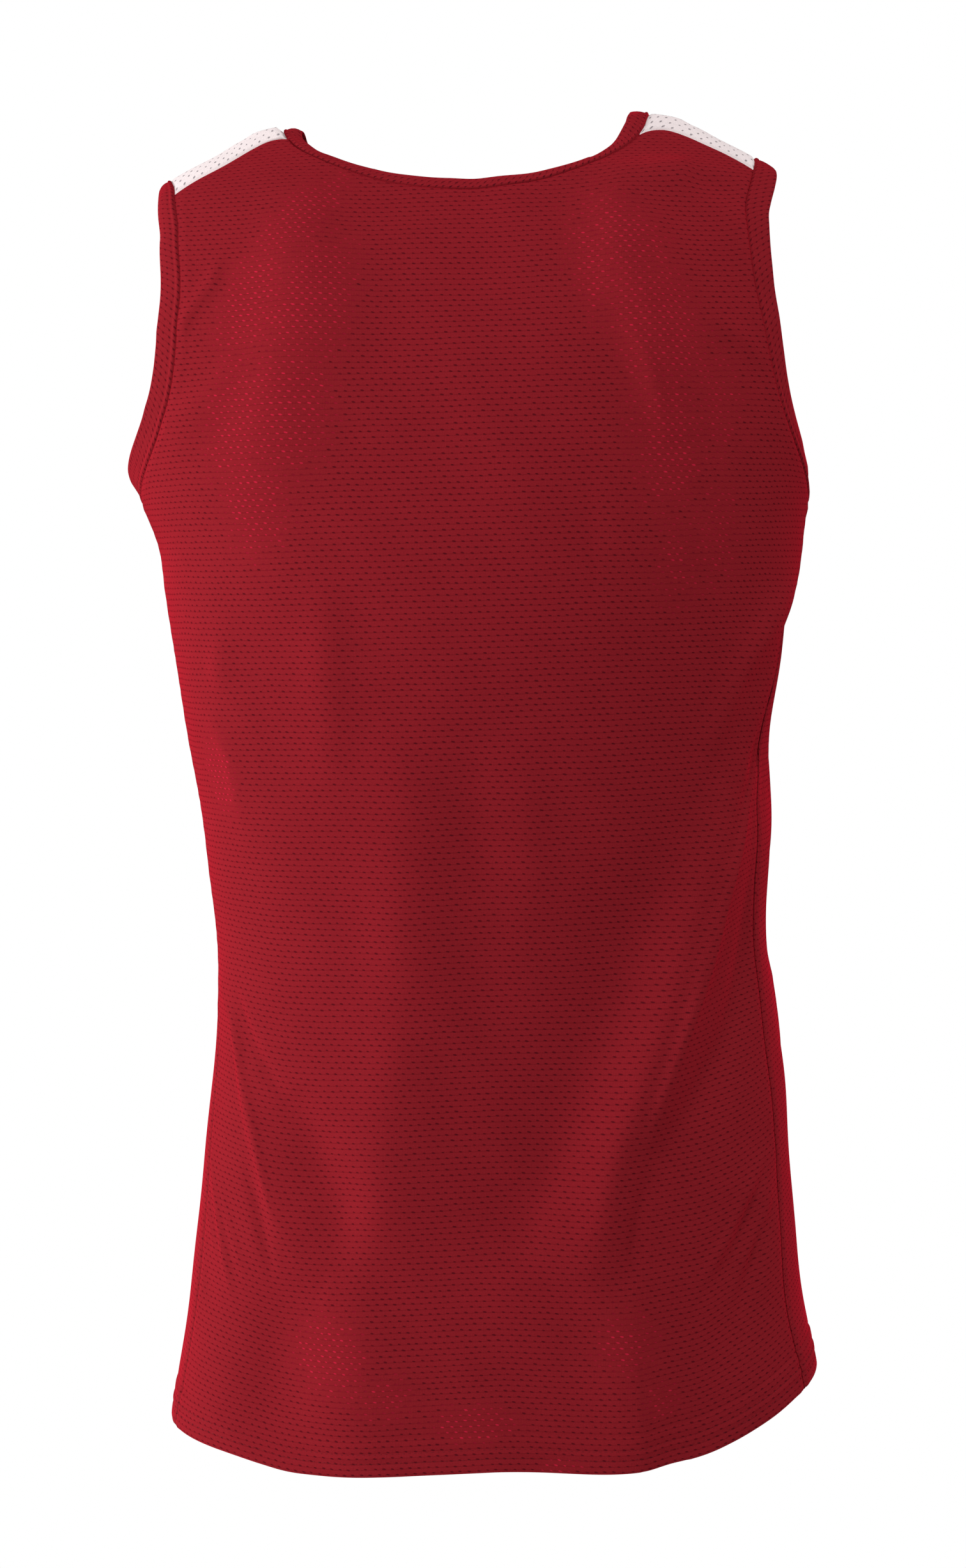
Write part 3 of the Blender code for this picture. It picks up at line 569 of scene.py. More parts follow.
def clothGrid(grid, pattern, keep=None, gleam=None):
    # a sheet of cloth over a grid of points, with its flat pattern and the corners cut away
    rows, columns = grid.shape[0] - 1, grid.shape[1] - 1
    bm = bmesh.new()
    bmesh.ops.create_grid(bm, x_segments=columns, y_segments=rows, size=0.5)
    uv = bm.loops.layers.uv.new("cloth")
    shine = bm.verts.layers.float.new("gleam")
    spots, away = {}, []
    for vert in bm.verts:
        i, j = round((vert.co.y + 0.5) * rows), round((vert.co.x + 0.5) * columns)
        spots[vert] = (i, j)
        if keep is not None and not keep[i, j]:
            away.append(vert)
            continue
        vert.co = grid[i, j]
        if gleam is not None:
            vert[shine] = gleam[i, j]
    flat = pattern.tolist()
    for face in bm.faces:
        face.smooth = True
        for loop in face.loops:
            i, j = spots[loop.vert]
            loop[uv].uv = flat[i][j]
    bmesh.ops.delete(bm, geom=away, context="VERTS")
    return bm


def clothRings(rings, pattern):
    # a closed band from rings of points round an opening, and the flat pattern of each ring
    bm = bmesh.new()
    order = bm.verts.layers.int.new("order")
    level = bm.verts.layers.int.new("level")
    count = len(rings[0])
    first = bmesh.ops.create_circle(bm, segments=count, radius=1.0)["verts"]
    for k, vert in enumerate(first):
        vert[order] = k
        vert.co = rings[0][k]
    edges = list(bm.edges)
    for number, ring in enumerate(rings[1:], 1):
        made = bmesh.ops.extrude_edge_only(bm, edges=edges)["geom"]
        for vert in (item for item in made if isinstance(item, bmesh.types.BMVert)):
            vert.co = ring[vert[order]]
            vert[level] = number
        edges = [item for item in made if isinstance(item, bmesh.types.BMEdge)
                 and item.verts[0][level] == number and item.verts[1][level] == number]
    uv = bm.loops.layers.uv.new("cloth")
    bm.verts.layers.float.new("gleam")
    for face in bm.faces:
        face.smooth = True
        wraps = {0, count - 1} <= {vert[order] for vert in face.verts}
        for loop in face.loops:
            k = loop.vert[order]
            u, v = pattern[loop.vert[level]][k]
            loop[uv].uv = (pattern[0][-1][0] if wraps and k == 0 else u, v)
    bmesh.ops.remove_doubles(bm, verts=bm.verts, dist=1e-6)
    bmesh.ops.recalc_face_normals(bm, faces=bm.faces)
    return bm


def newObject(name, bm, material):
    mesh = bpy.data.meshes.new(name)
    bm.to_mesh(mesh)
    bm.free()
    mesh.materials.append(material)
    item = bpy.data.objects.new(name, mesh)
    bpy.context.scene.collection.objects.link(item)
    return item


def addPiece(name, bm, material, wall=None):
    piece = newObject(name, bm, material)
    if wall:
        solid = piece.modifiers.new("wall", "SOLIDIFY")
        solid.thickness = wall
        solid.offset = -1.0
        solid.use_even_offset = False
    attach(piece, "root")
    return piece


# Materials

def linear(code):
    # an sRGB hex colour as the linear values that the shader wants
    parts = [int(code[k:k + 2], 16) / 255 for k in (0, 2, 4)]
    return [p / 12.92 if p <= 0.04045 else ((p + 0.055) / 1.055) ** 2.4 for p in parts] + [1.0]


def addNode(tree, kind, links=None, **settings):
    # a node with its settings, and links by input name or number
    node = tree.nodes.new(kind)
    for key, value in settings.items():
        if hasattr(node, key):
            setattr(node, key, value)
        else:
            node.inputs[key.replace("_", " ")].default_value = value
    for key, source in (links or {}).items():
        target = node.inputs[key]
        if isinstance(source, (int, float)):
            target.default_value = source
        else:
            tree.links.new(source, target)
    return node


def maths(tree, operation, *values):
    return addNode(tree, "ShaderNodeMath", dict(enumerate(values)), operation=operation).outputs[0]


def newMaterial(name, **sockets):
    material = bpy.data.materials.new(name)
    material.use_nodes = True
    tree = material.node_tree
    shader = tree.nodes["Principled BSDF"]
    for key, value in sockets.items():
        shader.inputs[key.replace("_", " ")].default_value = value
    return material, tree, shader


def addBump(tree, height, strength, distance):
    bump = addNode(tree, "ShaderNodeBump", {"Height": height}, Strength=strength, Distance=distance)
    tree.links.new(bump.outputs[0], tree.nodes["Principled BSDF"].inputs["Normal"])


# Real distances between eyelets along a course and between courses, and half an eyelet's width
# and height. The wales really stand 0.4 mm apart and are drawn twice as coarse so that they show.
redEyelets = {"across": 0.0047, "up": 0.0030, "halfWidth": 0.00090, "halfHeight": 0.00038, "wale": 0.00080}
whiteEyelets = {"across": 0.0052, "up": 0.0062, "halfWidth": 0.00062, "halfHeight": 0.00105, "wale": 0.00080}

weave = {
    "wander": 0.0012,  # how far the rows wander, in metres
    "strayAcross": 0.16, "strayUp": 0.14,  # how far eyelets stray, in shares of their cells
    "size": (0.40, 0.80),  # how much their size differs, and the least
    "light": 0.30,  # how much their light differs
    "slant": 0.30,  # how far a dash rises to one end
    "rim": (1.35, 0.55),  # where an eyelet begins and where it is fully dark
    "litFrom": (0.35, 0.70),  # the gleam from which an eyelet is lit, and is fully lit
    "coursePlace": 0.10, "courseEdge": (0.13, 0.02),  # the course, in shares of a cell
    "waleTone": 0.035, "fibreTone": 0.36, "patchTone": 0.10,  # how much each changes the colour
    # how much each stands up or sinks in, where a whole eyelet sinks in by 1, and that in metres
    "courseDepth": -0.22, "waleHeight": 0.05, "fibreHeight": 0.20,
    "relief": 0.00035,
}


def eyeletCloth(name, eyelets, ground, pit, bright, course, turn=0.0, pitDepth=1.0, sheen=0.0,
                sheenTint="FFFFFF"):
    # Warp-knitted polyester with rows of small eyelets: matt, with a faint sheen at grazing angles and
    # fine upright wales. The eyelets are not cut through: painted shade makes them dark specks where the dark
    # inside would show, and painted light makes them lit specks where the gleam is.
    material, tree, shader = newMaterial(
        name, Roughness=0.85, IOR=1.46, Specular_IOR_Level=0.0, Sheen_Weight=sheen, Sheen_Roughness=0.35,
        Sheen_Tint=linear(sheenTint))

    def calc(operation, *values):
        return maths(tree, operation, *values)

    def ramp(value, ends, kind="SMOOTHSTEP"):
        return addNode(tree, "ShaderNodeMapRange", {"Value": value}, interpolation_type=kind,
                       From_Min=ends[0], From_Max=ends[1]).outputs[0]

    def noise(output, **settings):
        return addNode(tree, "ShaderNodeTexNoise", {"Vector": cloth}, **settings).outputs[output]

    cloth = addNode(tree, "ShaderNodeUVMap", uv_map="cloth").outputs[0]
    turned = addNode(tree, "ShaderNodeMapping", {"Vector": cloth}, vector_type="POINT")
    turned.inputs["Rotation"].default_value = (0, 0, math.radians(turn))
    cloth = turned.outputs[0]
    # the cloth never lies quite straight, so the rows wander a little
    shift = addNode(tree, "ShaderNodeVectorMath", {0: noise("Color", Scale=28.0, Detail=1.0)},
                    operation="SUBTRACT")
    shift.inputs[1].default_value = (0.5, 0.5, 0.5)
    shift = addNode(tree, "ShaderNodeVectorMath", {0: shift.outputs[0]}, operation="SCALE",
                    Scale=weave["wander"])
    cloth = addNode(tree, "ShaderNodeVectorMath", {0: cloth, 1: shift.outputs[0]}, operation="ADD").outputs[0]
    flat = addNode(tree, "ShaderNodeSeparateXYZ", {0: cloth})
    u, v = flat.outputs[0], flat.outputs[1]

    up = calc("DIVIDE", v, eyelets["up"])
    row = calc("FLOOR", up)
    half = calc("MULTIPLY", calc("PINGPONG", row, 1.0), 0.5)
    across = calc("ADD", calc("DIVIDE", u, eyelets["across"]), half)
    cell = addNode(tree, "ShaderNodeCombineXYZ", {0: calc("FLOOR", across), 1: row}).outputs[0]
    chance = addNode(tree, "ShaderNodeTexWhiteNoise", {"Vector": cell}, noise_dimensions="2D")
    chance = addNode(tree, "ShaderNodeSeparateColor", {0: chance.outputs["Color"]}).outputs

    def stray(k, most):
        return calc("MULTIPLY_ADD", chance[k], most, -most / 2)

    # each eyelet is a short dash that rises a little to one end
    dashX = calc("ADD", calc("SUBTRACT", calc("FRACT", across), 0.5), stray(0, weave["strayAcross"]))
    inY = calc("SUBTRACT", calc("FRACT", up), 0.5)
    dashY = calc("SUBTRACT", calc("ADD", inY, stray(1, weave["strayUp"])),
                 calc("MULTIPLY", dashX, weave["slant"]))
    farX = calc("MULTIPLY", dashX, eyelets["across"] / eyelets["halfWidth"])
    farY = calc("MULTIPLY", dashY, eyelets["up"] / eyelets["halfHeight"])
    squares = [calc("POWER", calc("ABSOLUTE", far), 2.0) for far in (farX, farY)]
    size = calc("MULTIPLY_ADD", chance[2], *weave["size"])
    hole = ramp(calc("DIVIDE", calc("SQRT", calc("ADD", *squares)), size), weave["rim"])
    # the course that joins the eyelets of a row, just under them
    line = ramp(calc("ABSOLUTE", calc("ADD", inY, weave["coursePlace"])), weave["courseEdge"])
    wale = calc("SINE", calc("MULTIPLY", u, 2 * math.pi / eyelets["wale"]))
    fibre = noise("Fac", Scale=1400.0, Detail=2.0, Roughness=0.6)
    patch = noise("Fac", Scale=45.0, Detail=3.0)

    tone = calc("MULTIPLY_ADD", wale, weave["waleTone"], 1.0)
    for pattern, share in ((fibre, weave["fibreTone"]), (patch, weave["patchTone"])):
        tone = calc("ADD", tone, calc("MULTIPLY_ADD", pattern, share, -share / 2))
    tone = calc("SUBTRACT", tone, calc("MULTIPLY", line, course))
    base = addNode(tree, "ShaderNodeMix", data_type="RGBA", blend_type="MULTIPLY")
    base.inputs["Factor"].default_value = 1.0
    base.inputs[6].default_value = linear(ground)
    grey = addNode(tree, "ShaderNodeCombineColor", {0: tone, 1: tone, 2: tone}).outputs[0]
    tree.links.new(grey, base.inputs[7])

    gleam = addNode(tree, "ShaderNodeAttribute", attribute_name="gleam").outputs["Fac"]
    lit = ramp(calc("ADD", gleam, stray(1, weave["light"])), weave["litFrom"], "LINEAR")
    # the eyelets' colour: the pit colour is painted shade in place of the holes, the bright colour painted
    # light
    paintedEyelet = addNode(tree, "ShaderNodeMix", {"Factor": lit}, data_type="RGBA")
    paintedEyelet.inputs[6].default_value = linear(pit)
    paintedEyelet.inputs[7].default_value = linear(bright)
    colour = addNode(tree, "ShaderNodeMix", {"Factor": hole, 6: base.outputs[2], 7: paintedEyelet.outputs[2]},
                     data_type="RGBA")
    tree.links.new(colour.outputs[2], shader.inputs["Base Color"])

    depth = calc("MULTIPLY", hole, -pitDepth)
    for pattern, share in ((line, "courseDepth"), (wale, "waleHeight"), (fibre, "fibreHeight")):
        depth = calc("ADD", depth, calc("MULTIPLY", pattern, weave[share]))
    addBump(tree, depth, 0.55, weave["relief"])
    return material


# pit is painted shade in the uncut eyelets, bright is painted light in the lit ones
red = {"ground": "75181F", "pit": "4C0D15", "bright": "A81C32", "course": 0.20,
       "sheen": 0.48, "sheenTint": "D40C2A"}
redMesh = eyeletCloth("Red polyester eyelet mesh, warp knitted", redEyelets, **red)
# The bindings are the same mesh cut slantwise, so their rows run askew.
redRib = eyeletCloth("Red polyester eyelet mesh, cut on the bias", redEyelets, turn=52.0, **red)
# its pit colour is painted shade in the uncut eyelets
whiteMesh = eyeletCloth("White polyester eyelet mesh, warp knitted", whiteEyelets, ground="D2C6C6",
                        pit="857C7F", bright="857C7F", course=0.03, pitDepth=0.8, sheen=0.1,
                        sheenTint="FFF4F4")


def threadMaterial(name, colour):
    # Spun polyester thread: matt, twisted across its length.
    material, tree, shader = newMaterial(name, Roughness=0.7, Specular_IOR_Level=0.1)
    place = addNode(tree, "ShaderNodeTexCoord").outputs["Object"]
    twist = addNode(tree, "ShaderNodeTexWave", {"Vector": place}, bands_direction="DIAGONAL",
                    Scale=900.0).outputs["Fac"]
    shade = addNode(tree, "ShaderNodeValToRGB", {"Fac": twist})
    shade.color_ramp.elements[0].color = [0.6 * c for c in linear(colour)[:3]] + [1.0]
    shade.color_ramp.elements[1].color = linear(colour)
    tree.links.new(shade.outputs[0], shader.inputs["Base Color"])
    addBump(tree, twist, 0.3, 0.0001)
    return material


thread = threadMaterial("Red spun polyester thread", "641019")

print("materials made")


# Panels

panel = {
    "wall": 0.0009,
    # the mesh cell across and up, finer across where the folds are
    "cell": {"back": (0.0022, 0.0034), "front": (0.0034, 0.0034)},
    "seamDip": 0.0006, "seamWidth": 0.0008,  # the edge rolls down into a seam
    # and the cloth beside it stands up: by how much, how far off and how wide, in gathers
    "puff": 0.0003, "puffPlace": 0.0052, "puffWidth": 0.0026, "puffShare": 0.6,
    # mean, size, length, and how far and how slowly the gathers and the side stitch vary
    "pucker": (0.5, 0.5, 0.0016, 2.0, 0.011),
    "fading": (0.6, 0.4, 0.021, 1.5, 0.047),
    "stitchDip": 0.00035, "stitchWidth": 0.0011,
    "hemStitches": (0.0077, 0.0129),  # heights of the two rows over the bottom edge
    "ridge": 0.0003, "ridgeWidth": 0.0018,  # the cloth stands up between them
    "sideStitch": 0.0021, "sideWidth": 0.0006,  # one row beside the side seams of the back
    "hemTurn": 0.0200,  # how far up inside the hem is turned
    "hemStep": 0.0005, "stepWidth": 0.0016,  # its edge shows through, with a groove over it
    "hemGroove": 0.0003, "groovePlace": 0.0006, "grooveWidth": 0.0010,
    "hemRoll": 0.0006, "rollWidth": 0.0022,  # the bottom edge rolls in
}

# Where light strikes the far rims of the eyelets: angle, mm below the frame's origin, how wide the
# patch is in degrees, how high in mm, and how strong
gleams = (
    (46, 60, 10, 35, 0.8), (36, 105, 12, 45, 0.9), (38, 160, 12, 45, 0.9), (44, 205, 10, 40, 0.8),
    (49, 100, 8, 45, 0.85), (48, 165, 8, 45, 0.85), (-44, 75, 10, 35, 0.8), (-44, 120, 11, 45, 0.9),
    (-43, 180, 10, 50, 0.8), (-44, 240, 9, 40, 0.6), (-35, 90, 9, 45, 0.7), (-53, 160, 9, 50, 0.6),
    (-52, 225, 9, 50, 0.6), (61, 345, 7, 28, 0.9), (40, 650, 12, 28, 0.85), (28, 672, 13, 18, 0.7),
    (-36, 645, 10, 26, 0.75), (-43, 677, 8, 14, 0.7), (4, 686, 15, 12, 0.95), (-20, 709, 8, 6, 0.8),
    (137, 140, 9, 60, 0.8), (-139, 150, 9, 60, 0.6), (-120, 350, 8, 40, 0.6), (150, 660, 8, 25, 0.6),
)


def gleamAt(points):
    angle, height = angleOf(points), points[..., 2]
    total = np.zeros(height.shape)
    for middle, level, wide, high, strength in gleams:
        turn = (angle - middle + 180) % 360 - 180
        climb = (height + level / 1000) / (high / 1000)
        total = np.maximum(total, strength * np.exp(-((turn / wide) ** 2 + climb**2)))
    return total


spotPitch = 0.0004  # metres between the spots of a curve that distances are measured to


def nearest(points, lines):
    # distance from each point to the nearest of some curves, and the way along that curve
    spots, places = [], []
    for line in lines:
        length = lengthOf(line)
        count = max(8, int(length / spotPitch))
        spots.append(along(line, np.linspace(0, 1, count)))
        places.append(np.linspace(0, length, count))
    spots, places = np.concatenate(spots), np.concatenate(places)
    tree = KDTree(len(spots))
    for k, spot in enumerate(spots):
        tree.insert(spot, k)
    tree.balance()
    found = [tree.find(point)[1:] for point in points.reshape(-1, 3)]
    index = np.array([item[0] for item in found])
    distance = np.array([item[1] for item in found])
    return distance.reshape(points.shape[:-1]), places[index].reshape(points.shape[:-1])


def gathers(place, mean, size, length, wander, slow):
    # waves along a seam that come now closer and now wider
    return mean + size * np.sin(place / length + wander * np.sin(place / slow))


def groove(distance, place, width):
    return np.exp(-(((distance - place) / width) ** 2))


def panelGrid(face):
    near, far = ("left", "right") if face == "back" else ("right", "left")
    turn = 0 if face == "back" else -360
    cellAcross, cellUp = panel["cell"][face]
    pits, arms, shoulders = [], [], []
    for side in (near, far):
        pits.append(armPoints(side, even(seamFoot(side), seams["underarm"][face])))
        end = seams["inserts"][side, face][1] + (0 if face == "back" else 360)
        arms.append(armPoints(side, even(seams["underarm"][face], end)))
        shoulders.append(insertSeam(side, face))
    neckStart = sideSign(near) * seams["inserts"][near, face][0]
    neckEnd = sideSign(far) * seams["inserts"][far, face][0]
    neck = neckPoints(even(neckStart, turn + neckEnd))

    pitShares = spacing(lengthOf(pits[0]), cellAcross, (True, False))
    shoulderShares = spacing(lengthOf(shoulders[0]), cellAcross, (False, True))
    neckShares = spacing(lengthOf(neck), cellAcross)
    shoulder = [along(shoulders[0], shoulderShares)[::-1], along(shoulders[1], shoulderShares)]
    topLine = np.concatenate([shoulder[0][:-1], along(neck, neckShares), shoulder[1][1:]])
    pit = [along(pits[0], pitShares), along(pits[1], pitShares)[::-1]]

    ends = swing(np.stack([pit[0][-1], pit[1][0]]), face)
    share = even(0, 1)[:, None]
    chest = unswing(ends[0] + share * (ends[1] - ends[0]), face)
    width = lengthOf(chest)
    fineEnds = 1000 * width * np.minimum(1, lengthsAlong(topLine) / lengthOf(topLine))
    chest = along(chest, fineEnds / fineEnds[-1])
    top = np.concatenate([pit[0][:-1], chest, pit[1][1:]])

    start, end = sideAngle(near, seams["sideFoot"]), sideAngle(far, seams["sideFoot"]) + turn
    angles = (np.linspace(start, end, 3 * dense) + 180) % 360 - 180
    hem = along(levelPoints(angles, hemHeight(angles)), lengthsAlong(top) / lengthOf(top))
    sideLines = [sideSeam(near), sideSeam(far)]
    hem[0], hem[-1] = sideLines[0][0], sideLines[1][0]
    sideShares = spacing(lengthOf(sideLines[0]), cellUp, (False, True), hem=True)
    sides = [along(line, sideShares) for line in sideLines]
    armShares = spacing(lengthOf(arms[0]), cellUp, (False, True))
    upper = fillPatch(chest, topLine, along(arms[0], armShares), along(arms[1], armShares), face)
    lower = fillPatch(hem, top, *sides, face)

    rows, columns, spare = lower.shape[0] + upper.shape[0] - 1, lower.shape[1], len(pitShares) - 1
    grid = np.zeros((rows, columns, 3))
    grid[:lower.shape[0]] = lower
    grid[lower.shape[0]:, spare:columns - spare] = upper[1:]
    keep = np.zeros((rows, columns), bool)
    keep[:lower.shape[0]] = True
    keep[lower.shape[0]:, spare:columns - spare] = True
    for i in range(lower.shape[0], rows):  # parks the unused corners on the armhole seam
        grid[i, :spare], grid[i, columns - spare:] = grid[i, spare], grid[i, columns - spare - 1]
    openSeams = [pits[0], pits[1], arms[0], arms[1], neck]
    return grid, keep, sideLines, openSeams, shoulders


def makePanel(face):
    grid, keep, sideLines, openSeams, shoulders = panelGrid(face)
    normal = outward(grid)
    toOpen, _ = nearest(grid, openSeams + shoulders)
    toSide, place = nearest(grid, sideLines)
    toShoulder, _ = nearest(grid, shoulders)
    close, far = folds["shoulderFade"]
    lift = foldRise(grid) * np.clip((toShoulder - close) / (far - close), 0, 1)
    share = panel["puffShare"]
    puff = panel["puff"] * (share + share * gathers(place, *panel["pucker"]))
    for distance in (toOpen, toSide):
        lift -= panel["seamDip"] * groove(distance, 0.0, panel["seamWidth"])
        lift += puff * groove(distance, panel["puffPlace"], panel["puffWidth"])
    if face == "back":
        fading = gathers(place, *panel["fading"])
        lift -= panel["stitchDip"] * fading * groove(toSide, panel["sideStitch"], panel["sideWidth"])
    # rows of hem stitches, and the turned-up edge that shows through over them
    above = grid[..., 2] - grid[0, :, 2]
    for height in panel["hemStitches"]:
        lift -= panel["stitchDip"] * groove(above, height, panel["stitchWidth"])
    low, high = panel["hemStitches"]
    turned = panel["hemTurn"]
    lift += panel["ridge"] * groove(above, (low + high) / 2, panel["ridgeWidth"])
    lift += panel["hemStep"] * np.clip((turned - above) / panel["stepWidth"], 0, 1)
    lift -= panel["hemGroove"] * groove(above, turned + panel["groovePlace"], panel["grooveWidth"])
    lift -= panel["hemRoll"] * np.clip(1 - above / panel["rollWidth"], 0, 1) ** 2
    shape = grid + lift[..., None] * normal
    pattern = panelGrain(grid, face)
    cloth = clothGrid(shape, pattern, keep, gleamAt(grid))
    piece = addPiece(face + "Panel", cloth, redMesh, panel["wall"])
    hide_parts(face + "_panel")
    print(face, "panel made:", len(piece.data.polygons), "faces")
    return piece, shape, normal, pattern, int(keep[:, 0].sum())


panels = {face: makePanel(face) for face in ("back", "front")}


# Shoulder inserts

insert = {"wall": 0.0009, "cell": 0.0028, "seamDip": 0.0012, "seamWidth": 0.0013}


def makeInsert(side):
    lines = {face: insertSeam(side, face) for face in ("back", "front")}
    neckRange = [sideSign(side) * seams["inserts"][side, face][0] for face in ("back", "front")]
    armRange = [seams["inserts"][side, face][1] for face in ("back", "front")]
    neck = neckPoints(even(*neckRange))
    arm = armPoints(side, even(*armRange))
    long = spacing(lengthOf(lines["back"]), insert["cell"], (False, True))
    wide = spacing(lengthOf(neck), insert["cell"], (True, True))
    edges = [along(line, long) for line in lines.values()] + [along(neck, wide), along(arm, wide)]
    grid = fillPatch(*edges)
    if side == "left":
        grid = grid[:, ::-1]
    toSeam, _ = nearest(grid, [*lines.values(), neck, arm])
    lift = foldRise(grid) - insert["seamDip"] * groove(toSeam, 0.0, insert["seamWidth"])
    shape = grid + lift[..., None] * outward(grid)
    u, v = running(stepsOf(grid, 1).mean(axis=0)), running(stepsOf(grid).mean(axis=1))
    pattern = np.stack(np.broadcast_arrays(u[None], v[:, None]), -1)
    cloth = clothGrid(shape, pattern)
    piece = addPiece("shoulderInsert" + side.title(), cloth, whiteMesh, insert["wall"])
    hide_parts("shoulder_insert_" + side)
    print(side, "insert made:", len(piece.data.polygons), "faces")
    return piece


inserts = {side: makeInsert(side) for side in ("left", "right")}


# Bindings

binding = {
    "cell": 0.0022,
    "neckWidth": 0.0105,
    "flattest": 0.01,  # the least bend that is made, in 1/m
    # how the outer face eases in and out: mean, size, length, and how far and slowly that varies
    "ease": (0.0, 0.00025, 0.0052, 1.7, 0.017),
    "easePlace": 0.55,  # where across the band it eases most
    # how the neck binding turns in, as a bend in 1/m, by place round the neck
    "neckLean": ((-180, 20), (-110, 20), (-85, 15), (-68, 40), (-55, 100), (-40, 100), (-25, 70),
                 (0, 50), (30, 62), (62, 110), (76, 110), (95, 70), (115, 40), (180, 20)),
    # the same for the armholes: place, left, right
    "armLean": ((0, 60, 6), (34, 45, -8), (70, 10, 8), (290, 10, 8), (326, 45, -8), (360, 60, 6)),
    # how far the armhole bindings stand up from the slope of the shoulder, in degrees
    "armTilt": ((0, 0, 0), (20, 2, 6), (40, 2, 6), (70, 0, 0), (290, 0, 0), (320, 2, 6), (340, 2, 6),
                (360, 0, 0)),
    # and how much of their width shows, in mm: it is pinched over the shoulder
    "armWidth": ((0, 6.4, 10.2), (10, 7.8, 11), (20, 10.5, 12.3), (34, 12.4, 13), (50, 13, 13), (310, 13, 13),
                 (326, 12.4, 13), (340, 10.5, 12.3), (350, 7.8, 11), (360, 6.4, 10.2)),
    # across the band: share of the width, height over the cloth in mm, outer face first. It is
    # tucked under the panel, rises in a narrow fold, then lies flat to its rounded edge.
    "profile": (
        (-0.08, -1.3), (-0.01, -0.75), (0.012, -0.20), (0.035, 0.28), (0.07, 0.52), (0.12, 0.58),
        (0.165, 0.42), (0.20, 0.14), (0.235, 0.08), (0.29, 0.24), (0.42, 0.40), (0.60, 0.46),
        (0.78, 0.42), (0.90, 0.26), (0.965, -0.10), (0.99, -0.70), (0.955, -1.35), (0.86, -1.75),
        (0.60, -1.9), (0.25, -1.9), (0.0, -2.1),
    ),
}


def makeBand(name, node, seam, lean, tilt, width):
    centre = seam.mean(axis=0)
    normal = outward(seam)
    seam = folded(seam)
    tangent = np.roll(seam, -1, axis=0) - np.roll(seam, 1, axis=0)
    away = unit(np.cross(tangent, normal))
    if (away * (centre - seam)).sum() < 0:
        away = -away
    tilt = np.radians(tilt)[:, None]
    away, normal = away * np.cos(tilt) + normal * np.sin(tilt), normal * np.cos(tilt) - away * np.sin(tilt)
    radius = 1 / np.where(np.abs(lean) < binding["flattest"], binding["flattest"], lean)[:, None]
    lengths = lengthsAlong(np.concatenate([seam, seam[:1]]))
    place = lengths[:-1]
    ease = gathers(place, *binding["ease"])
    rings, pattern, gone, last = [], [], 0.0, None
    for share, height in binding["profile"] + binding["profile"][:1]:
        distance = share * width[:, None]
        height = height / 1000 + ease * np.clip(1 - abs(share - binding["easePlace"]) * 2, 0, 1)
        turn = distance / radius
        spine = seam + away * radius * np.sin(turn) - normal * radius * (1 - np.cos(turn))
        ring = spine + height[:, None] * (normal * np.cos(turn) + away * np.sin(turn))
        if last is not None:
            gone += np.linalg.norm(ring - last, axis=-1).mean()
        last = ring
        rings.append(ring)
        pattern.append(np.stack([np.append(place, lengths[-1]), np.full(len(lengths), gone)], -1).tolist())
    piece = addPiece(name, clothRings(rings, pattern), redRib)
    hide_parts(node)
    print(name, "made:", len(piece.data.polygons), "faces")
    return piece


def evenRing(curve, start):
    # evenly spaced points round a closed curve, and their places on it
    around = np.linspace(start, start + 360, 4 * dense)
    points = curve(around)
    lengths = lengthsAlong(points)
    count = round(lengths[-1] / binding["cell"])
    wanted = np.linspace(0, lengths[-1], count + 1)[:-1]
    places = np.interp(wanted, lengths, around)
    return curve(places), places % 360


for k, side in enumerate(("left", "right"), 1):
    seam, around = evenRing(lambda places: armPoints(side, places), seamFoot(side))
    lean, tilt, width = (smoothCurve(column(binding[key], k), around)
                         for key in ("armLean", "armTilt", "armWidth"))
    makeBand("armholeBinding" + side.title(), "armhole_binding_" + side, seam, lean, tilt,
                           width / 1000)
seam, around = evenRing(neckPoints, 180)
lean = smoothCurve(binding["neckLean"], (around + 180) % 360 - 180)
width = np.full(lean.shape, binding["neckWidth"])
makeBand("neckBinding", "neck_binding", seam, lean, 0 * lean, width)


# Stitches

stitch = {
    "pitch": 0.0030,
    "halfLength": 0.00110,
    "radius": 0.00017,
    "sink": 0.00006,
    "searched": 30,  # rows of a panel's grid that the hem's stitches are looked for in
    "wayRow": 8,  # and the row whose outward ways they take
    "sideColumns": (4, -5),  # columns of the back that carry a row of side stitches
}


def stitchRow(bm, line, normals):
    length = lengthOf(line)
    count = int(length / stitch["pitch"])
    places = (np.arange(count) + 0.5) / count
    spots = along(line, places)
    lengths = lengthsAlong(line)
    ups = unit(np.stack([np.interp(places * length, lengths, normals[:, k]) for k in range(3)], -1))
    ways = unit(np.gradient(spots, axis=0))
    for spot, up, way in zip(spots, ups, ways):
        across = np.cross(up, way) * stitch["radius"]
        middle = spot - up * stitch["sink"]
        stretch = placed(way * stitch["halfLength"], across, up * stitch["radius"], middle)
        bmesh.ops.create_icosphere(bm, subdivisions=1, radius=1.0, matrix=stretch)


def makeStitches(face):
    _, shape, normal, _, rows = panels[face]
    bm = bmesh.new()
    low = shape[:stitch["searched"]]
    heights = running(stepsOf(low))
    for height in panel["hemStitches"]:
        line = np.array([[np.interp(height, heights[:, j], low[:, j, k]) for k in range(3)]
                         for j in range(low.shape[1])])
        stitchRow(bm, line, normal[stitch["wayRow"]])
    for j in stitch["sideColumns"] if face == "back" else ():
        stitchRow(bm, shape[:rows, j], normal[:rows, j])
    for item in bm.faces:
        item.smooth = True
    bmesh.ops.recalc_face_normals(bm, faces=bm.faces)
    made = addPiece(face + "Stitches", bm, thread)
    print(face, "stitches made:", len(made.data.polygons), "faces")
    return made


stitches = {face: makeStitches(face) for face in panels}


# Turned-up hems and side seam allowances, inside

inner = {
    "gap": 0.0001,
    "wall": 0.0008,
    "allowance": 0.0070,
    "searched": 40,  # rows and columns that the edges of the strips are looked for in
}


